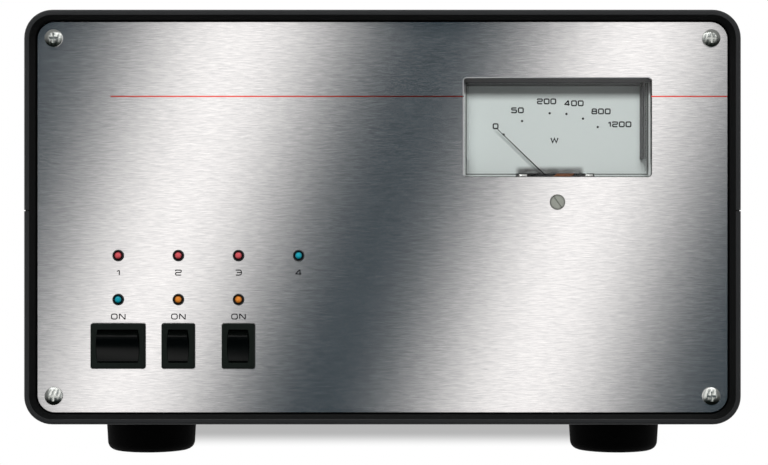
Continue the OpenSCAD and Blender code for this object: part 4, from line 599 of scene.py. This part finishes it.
# Edge of the clear cover, painted light and shade: a pale rim that stands in for the lit dial seen through
# the edge, with painted shade at its top, and a grey line of painted shade along its inner corner.
# Places are from the middle of the window. A stroke is its points, x and z, and its width, in mm.
rimSetup = {
    "rim": [([(-43.36, 23.4), (-43.36, -23.6)], 1.68),
            ([(-43.0, 22.22), (43.5, 22.22)], 2.4),
            ([(43.16, 20.9), (43.16, -23.6)], 0.45)],
    "line": [([(-42.25, -14.55), (-42.25, -21.73), (-18.6, -21.73)], 0.45),
             ([(17.3, -21.73), (42.2, -21.73), (42.2, 20.9)], 0.45)],
    "behind": 0.25 * mm,                # the liner's front
    "thick": 0.2 * mm,
    "bar": -41.2 * mm,                  # the liner's left bar lies to the left of this
    "barFacing": 0.9,                   # its wall looks this far along X
    "shade": (14.6 * mm, 17.0 * mm),    # heights between which the top's painted shade begins
    "paleColour": tone(248, 251, 251),
    "shadeColour": tone(150, 148, 151),
    "lineColour": tone(72, 74, 74),
}


def rimShade(paint):
    low, high = [windowMiddle.y + height for height in rimSetup["shade"]]
    return paint.step(paint.axis("Z"), low, high)


# Painted light on the liner's left bar, in front of the dial and below the top's painted shade: pale on the
# wall that looks inward, grey of the inner-corner line elsewhere
def linerPlastic(setup):
    paint = Paint("meterPlastic")
    left = paint.axis("X") < windowMiddle.x + setup["bar"]
    front = paint.axis("Y") < dialFace
    wall = paint.facing("X") > setup["barFacing"]
    lit = left * front * (1 - rimShade(paint))
    meter = plasticSetup["meter"]
    line = plasticSurface(paint, {**meter, "colour": setup["lineColour"]})
    pale = plasticSurface(paint, {**meter, "colour": setup["paleColour"]})
    lined = paint.mix(lit, plasticSurface(paint, meter), line)
    return paint.finish(paint.mix(lit * wall, lined, pale))


def moulded(key):
    return mouldedPlastic(key + "Plastic", plasticSetup[key])


def metal(key):
    return plainMetal(key + "Metal", metalSetup[key])


def painted(key):
    return mattPaint(key + "Paint", paintSetup[key])


def dress(material, *names):
    for name in names:
        mesh = nodes[name].data
        mesh.materials.clear()
        mesh.materials.append(material)


dress(caseMaterial(plasticSetup["case"], plasticSetup["mouth"]), "case_top", "case_bottom")
dress(moulded("foot"), "feet")
dress(brushedMetal("brushedPanel", brushedSetup), "front_panel")
dress(metal("sheet"), "rear_panel")
fixingMetal = metal("screw")
socketMetal = metal("nickel")
dress(fixingMetal, "case_screws", "foot_screws", "fan_screws", "socket_screws", "chassis_screws",
      "meter_fixings", "earth_terminal")
dress(screwHead("screwHead", headSetup), "panel_screws")
dress(moulded("switch"), "power_switch_body", "standby_switch_body", "preamp_switch_body")
dress(moulded("rocker"), "power_rocker", "standby_rocker", "preamp_rocker")
dress(metal("brass"), "switch_terminals", "board_pillars")
dress(moulded("bezel"), "led_bezels")
for lampName, oneLamp in lampSetup.items():
    dress(lampLens(lampName + "Lens", oneLamp), lampName + "_leds")
dress(circuitBoard("circuitBoard", boardSetup), "led_board", "control_board", "rf_board")
dress(clearAcrylic("clearAcrylic", acrylicSetup), "meter_cover")
dress(linerPlastic(rimSetup), "meter_base")
dress(mattPaint("dialPaint", paintSetup["dial"], movementShade, dialShade["colour"]), "meter_dial")
dress(metal("iron"), "meter_yoke", "meter_magnet")
dress(metal("bridge"), "meter_bridge")
dress(metal("copper"), "meter_coil", "heat_spreader", "coax_links")
dress(painted("pointer"), "meter_pointer")
dress(metal("bronze"), "meter_hairspring", "meter_zero_lever")
dress(zeroScrewMetal("zeroScrewMetal", zeroSetup), "meter_zero_screw")
dress(moulded("fan"), "fan_left_frame", "fan_left_rotor", "fan_right_frame", "fan_right_rotor")
dress(metal("wire"), "fan_guards")
dress(socketMetal, "rf_input_socket", "rf_output_socket", "keying_socket")
dress(moulded("insulator"), "socket_insulators")
dress(metal("gold"), "socket_contacts")
dress(moulded("mains"), "mains_inlet", "fuse_drawer")
dress(metal("pin"), "mains_pins")
dress(metal("aluminium"), "chassis_plate", "heatsink")
dress(painted("ceramic"), "rf_transistors")
dress(metal("tin"), "filter_box", "changeover_relays", "power_supply")
print("finishes on", len(nodes), "nodes")

# The red line is a clear lacquer, so the brushed metal shows through it
redSetup = {"colour": tone(212, 82, 75), "shadeColour": tone(186, 66, 60)}
inkMaterial = painted("ink")
redMaterial = brushedMetal("redLacquer", {**brushedSetup, **redSetup})


# Printed marks: strokes of one width, laid on a face that looks along -Y
glyphs = {
    "0": [("loop", [(0, 0), (1, 0), (1, 1), (0, 1)])],
    "1": [("line", [(0.1, 0.72), (0.85, 1), (0.85, 0)])],
    "2": [("line", [(0, 0.78), (0, 1), (1, 1), (1, 0.52), (0, 0.52), (0, 0), (1, 0)])],
    "3": [("line", [(0, 1), (1, 1), (1, 0), (0, 0)]), ("line", [(0.2, 0.53), (1, 0.53)])],
    "4": [("line", [(0.74, 0), (0.74, 1), (0.62, 1), (0, 0.3), (0, 0.24), (1, 0.24)])],
    "5": [("line", [(1, 1), (0, 1), (0, 0.57), (1, 0.57), (1, 0), (0, 0), (0, 0.2)])],
    "8": [("loop", [(0, 0), (1, 0), (1, 0.52), (0, 0.52)]),
          ("loop", [(0.06, 0.52), (0.94, 0.52), (0.94, 1), (0.06, 1)])],
    "O": [("loop", [(0, 0), (1, 0), (1, 1), (0, 1)])],
    "N": [("line", [(0, 0), (0, 1), (0.08, 1), (0.92, 0), (1, 0), (1, 1)])],
    "W": [("line", [(0, 1), (0.24, 0), (0.5, 0.9), (0.76, 0), (1, 1)])],
}
sharpGlyphs = "W"
glyphWidths = {"1": 0.55, "W": 1.5}
cornerSteps = 4
cornerShare = 0.45                  # most of a stroke's side that one corner takes
mitreLeast = 0.5                    # keeps the point of a sharp corner short
dotSides = 16


def roundCorners(points, radius, closed):
    # Each corner becomes a short arc
    made = []
    last = len(points) - 1
    for i, point in enumerate(points):
        if not closed and i in (0, last):
            made.append(point)
            continue
        before = points[i - 1] - point
        after = points[(i + 1) % len(points)] - point
        reach = min(radius, before.length * cornerShare, after.length * cornerShare)
        start = point + before.normalized() * reach
        end = point + after.normalized() * reach
        for step in range(cornerSteps + 1):
            t = step / cornerSteps
            made.append(start * (1 - t) ** 2 + point * 2 * t * (1 - t) + end * t * t)
    return made


def addStroke(mesh, points, width, closed, toWorld, thick):
    # A flat closed ribbon along the points, lying on the face
    count = len(points)
    rims = []
    for i, point in enumerate(points):
        before = point - points[i - 1] if closed or i > 0 else None
        after = points[(i + 1) % count] - point if closed or i < count - 1 else None
        lead = (before or after).normalized()
        trail = (after or before).normalized()
        along = (lead + trail).normalized()
        side = Vector((-along.y, along.x))
        reach = width / 2 / max(mitreLeast, along.dot(lead))
        edges = (point + side * reach, point - side * reach)
        rims.append([mesh.verts.new(toWorld(edge, d)) for d in (thick, 0) for edge in edges])
    for i in range(count if closed else count - 1):
        a = rims[i]
        b = rims[(i + 1) % count]
        mesh.faces.new((a[0], a[1], b[1], b[0]))
        mesh.faces.new((a[2], a[0], b[0], b[2]))
        mesh.faces.new((a[1], a[3], b[3], b[1]))
        mesh.faces.new((a[3], a[2], b[2], b[3]))
    if not closed:
        for a in (rims[0], rims[-1]):
            mesh.faces.new((a[0], a[2], a[3], a[1]))


def onFace(face):
    # x and z in metres on the face, d towards the viewer
    def toWorld(point, d):
        return (point.x, face - d, point.y)
    return toWorld


def addWord(mesh, word, centre, look, face):
    widths = [look["wide"] * glyphWidths.get(letter, 1) for letter in word]
    left = centre[0] - (sum(widths) + look["gap"] * (len(word) - 1)) / 2
    low = centre[1] - look["high"] / 2
    for letter, wide in zip(word, widths):
        for kind, shape in glyphs[letter]:
            points = [Vector((left + x * wide, low + y * look["high"])) for x, y in shape]
            if letter not in sharpGlyphs:
                points = roundCorners(points, look["corner"], kind == "loop")
            addStroke(mesh, points, look["stroke"], kind == "loop", onFace(face), look["thick"])
        left += wide + look["gap"]


def keepPiece(name, mesh, material, body):
    bmesh.ops.recalc_face_normals(mesh, faces=mesh.faces)
    data = bpy.data.meshes.new(name)
    mesh.to_mesh(data)
    mesh.free()
    piece = bpy.data.objects.new(name, data)
    data.materials.append(material)
    scene.collection.objects.link(piece)
    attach(piece, body)


# Dial: numbers round the pointer's pivot, x and z in mm from it, and a dot for each in degrees
dialSetup = {
    "numbers": [("0", -28.0, 27.8), ("50", -17.7, 35.3), ("200", -4.0, 39.5), ("400", 8.9, 38.6),
                ("800", 21.6, 34.8), ("1200", 30.3, 28.7), ("W", -0.3, 21.2)],
    "dots": [-45.3, -27.2, -4.3, 9.05, 22.7, 36.2],
    "dotArc": 34 * mm,
    "dotSize": 0.55 * mm,
}
dialLook = {"wide": 2.2 * mm, "high": 2.2 * mm, "gap": 0.95 * mm, "stroke": 0.60 * mm,
            "corner": 0.55 * mm, "thick": 0.04 * mm}
pivotPlace = next(j for j in frame["joints"] if j["name"] == "pointer_swing")["pos_m"]


def aroundPivot(angle, reach):
    turn = math.radians(angle)
    return (pivotPlace[0] + reach * math.sin(turn), pivotPlace[2] + reach * math.cos(turn))


def addDot(mesh, centre, size, face, thick):
    rim = []
    for i in range(dotSides):
        turn = 2 * math.pi * i / dotSides
        place = Vector((centre[0] + size * math.cos(turn), centre[1] + size * math.sin(turn)))
        rim.append([mesh.verts.new(onFace(face)(place, d)) for d in (thick, 0)])
    for layer in (0, 1):
        mesh.faces.new([pair[layer] for pair in rim])
    for i in range(dotSides):
        a = rim[i]
        b = rim[(i + 1) % dotSides]
        mesh.faces.new((a[0], b[0], b[1], a[1]))


def printDial(setup, look):
    words = bmesh.new()
    for word, x, z in setup["numbers"]:
        addWord(words, word, (pivotPlace[0] + x * mm, pivotPlace[2] + z * mm), look, dialFace)
    keepPiece("dial_numbers", words, inkMaterial, "case")
    dots = bmesh.new()
    for angle in setup["dots"]:
        addDot(dots, aroundPivot(angle, setup["dotArc"]), setup["dotSize"], dialFace, look["thick"])
    keepPiece("dial_dots", dots, inkMaterial, "case")
    print("dial printed")


# Panel print: a red line, lamp numbers and switch words
panelPrint = {
    "lineUp": 56.05 * mm,           # heights are from the panel's middle
    "lineLeft": -126.2 * mm,
    "lineThick": 0.62 * mm,
    "lampColumns": [-122.6 * mm, -94.7 * mm, -66.8 * mm, -38.9 * mm],
    "switchColumns": 3,             # the first columns have a switch below
    "numberDown": -25.7 * mm,
    "wordDown": -46.1 * mm,
}
labelLook = {"wide": 2.6 * mm, "high": 2.3 * mm, "gap": 1.1 * mm, "stroke": 0.48 * mm,
             "corner": 0.85 * mm, "thick": 0.03 * mm}


def printPanel(setup, look):
    height = panelMiddle.z + setup["lineUp"]
    for name, start, end in (("red_line_left", setup["lineLeft"], windowMiddle.x - windowHalf),
                             ("red_line_right", windowMiddle.x + windowHalf, panelHigh.x)):
        line = bmesh.new()
        addStroke(line, [Vector((start, height)), Vector((end, height))], setup["lineThick"], False,
                  onFace(panelFace), look["thick"])
        keepPiece(name, line, redMaterial, "case")
    words = bmesh.new()
    for i, column in enumerate(setup["lampColumns"]):
        addWord(words, str(i + 1), (column, panelMiddle.z + setup["numberDown"]), look, panelFace)
    for column in setup["lampColumns"][:setup["switchColumns"]]:
        addWord(words, "ON", (column, panelMiddle.z + setup["wordDown"]), look, panelFace)
    keepPiece("panel_marks", words, inkMaterial, "case")
    print("panel printed")


# Threads on the rear: a ridge wound round each barrel, spans are from its open end
socketThread = {"radius": 7.9 * mm, "span": (0.9 * mm, 9.8 * mm), "pitch": 1.06 * mm, "high": 0.28 * mm,
                "metal": socketMetal, "slot": "nickel"}
studThread = {"radius": 2.5 * mm, "span": (0.6 * mm, 8.5 * mm), "pitch": 0.8 * mm, "high": 0.22 * mm,
              "metal": fixingMetal, "slot": "screw_steel"}
ridgeShape = [(-0.45, 0), (-0.10, 1), (0.10, 1), (0.45, 0)]     # along the axis in pitches, and up
ridgeSunk = 0.06 * mm
ridgeSteps = 40                                                 # for each turn


def windThread(name, node, setup):
    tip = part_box(node)[1].y
    centre = middle(node)
    start, end = setup["span"]
    steps = int((end - start) / setup["pitch"] * ridgeSteps)
    mesh = bmesh.new()
    rims = []
    for i in range(steps + 1):
        turn = 2 * math.pi * i / ridgeSteps
        fade = min(1.0, 2 * i / ridgeSteps, 2 * (steps - i) / ridgeSteps)     # half a turn at each end
        rim = []
        for along, up in ridgeShape:
            reach = setup["radius"] - ridgeSunk + (ridgeSunk + setup["high"] * fade) * up
            back = start + setup["pitch"] * (i / ridgeSteps + along)
            rim.append(mesh.verts.new((centre.x + reach * math.cos(turn), tip - back,
                                       centre.z + reach * math.sin(turn))))
        rims.append(rim)
    for a, b in zip(rims, rims[1:]):
        for k in range(len(ridgeShape)):
            n = (k + 1) % len(ridgeShape)
            mesh.faces.new((a[k], a[n], b[n], b[k]))
    mesh.faces.new(rims[0])
    mesh.faces.new(rims[-1])
    keepPiece(name, mesh, setup["metal"], "case")


# Puts the painted light of the pale rim and the painted shade of the grey line behind the cover
def edgeCover(setup):
    seat = onFace(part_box("meter_base")[0].y + setup["behind"])
    dial = paintSetup["dial"]
    rim = mattPaint("coverRim", {**dial, "colour": setup["paleColour"]}, rimShade, setup["shadeColour"])
    line = mattPaint("coverLine", {**dial, "colour": setup["lineColour"]})
    for key, material in (("rim", rim), ("line", line)):
        mesh = bmesh.new()
        for points, width in setup[key]:
            places = [windowMiddle + Vector(point) * mm for point in points]
            addStroke(mesh, places, width * mm, False, seat, setup["thick"])
        keepPiece("cover_" + key, mesh, material, "case")
    print("cover edged")


edgeCover(rimSetup)
printDial(dialSetup, dialLook)
printPanel(panelPrint, labelLook)
windThread("output_socket_thread", "rf_output_socket", socketThread)
windThread("input_socket_thread", "rf_input_socket", socketThread)
windThread("earth_stud_thread", "earth_terminal", studThread)
print("threads wound")
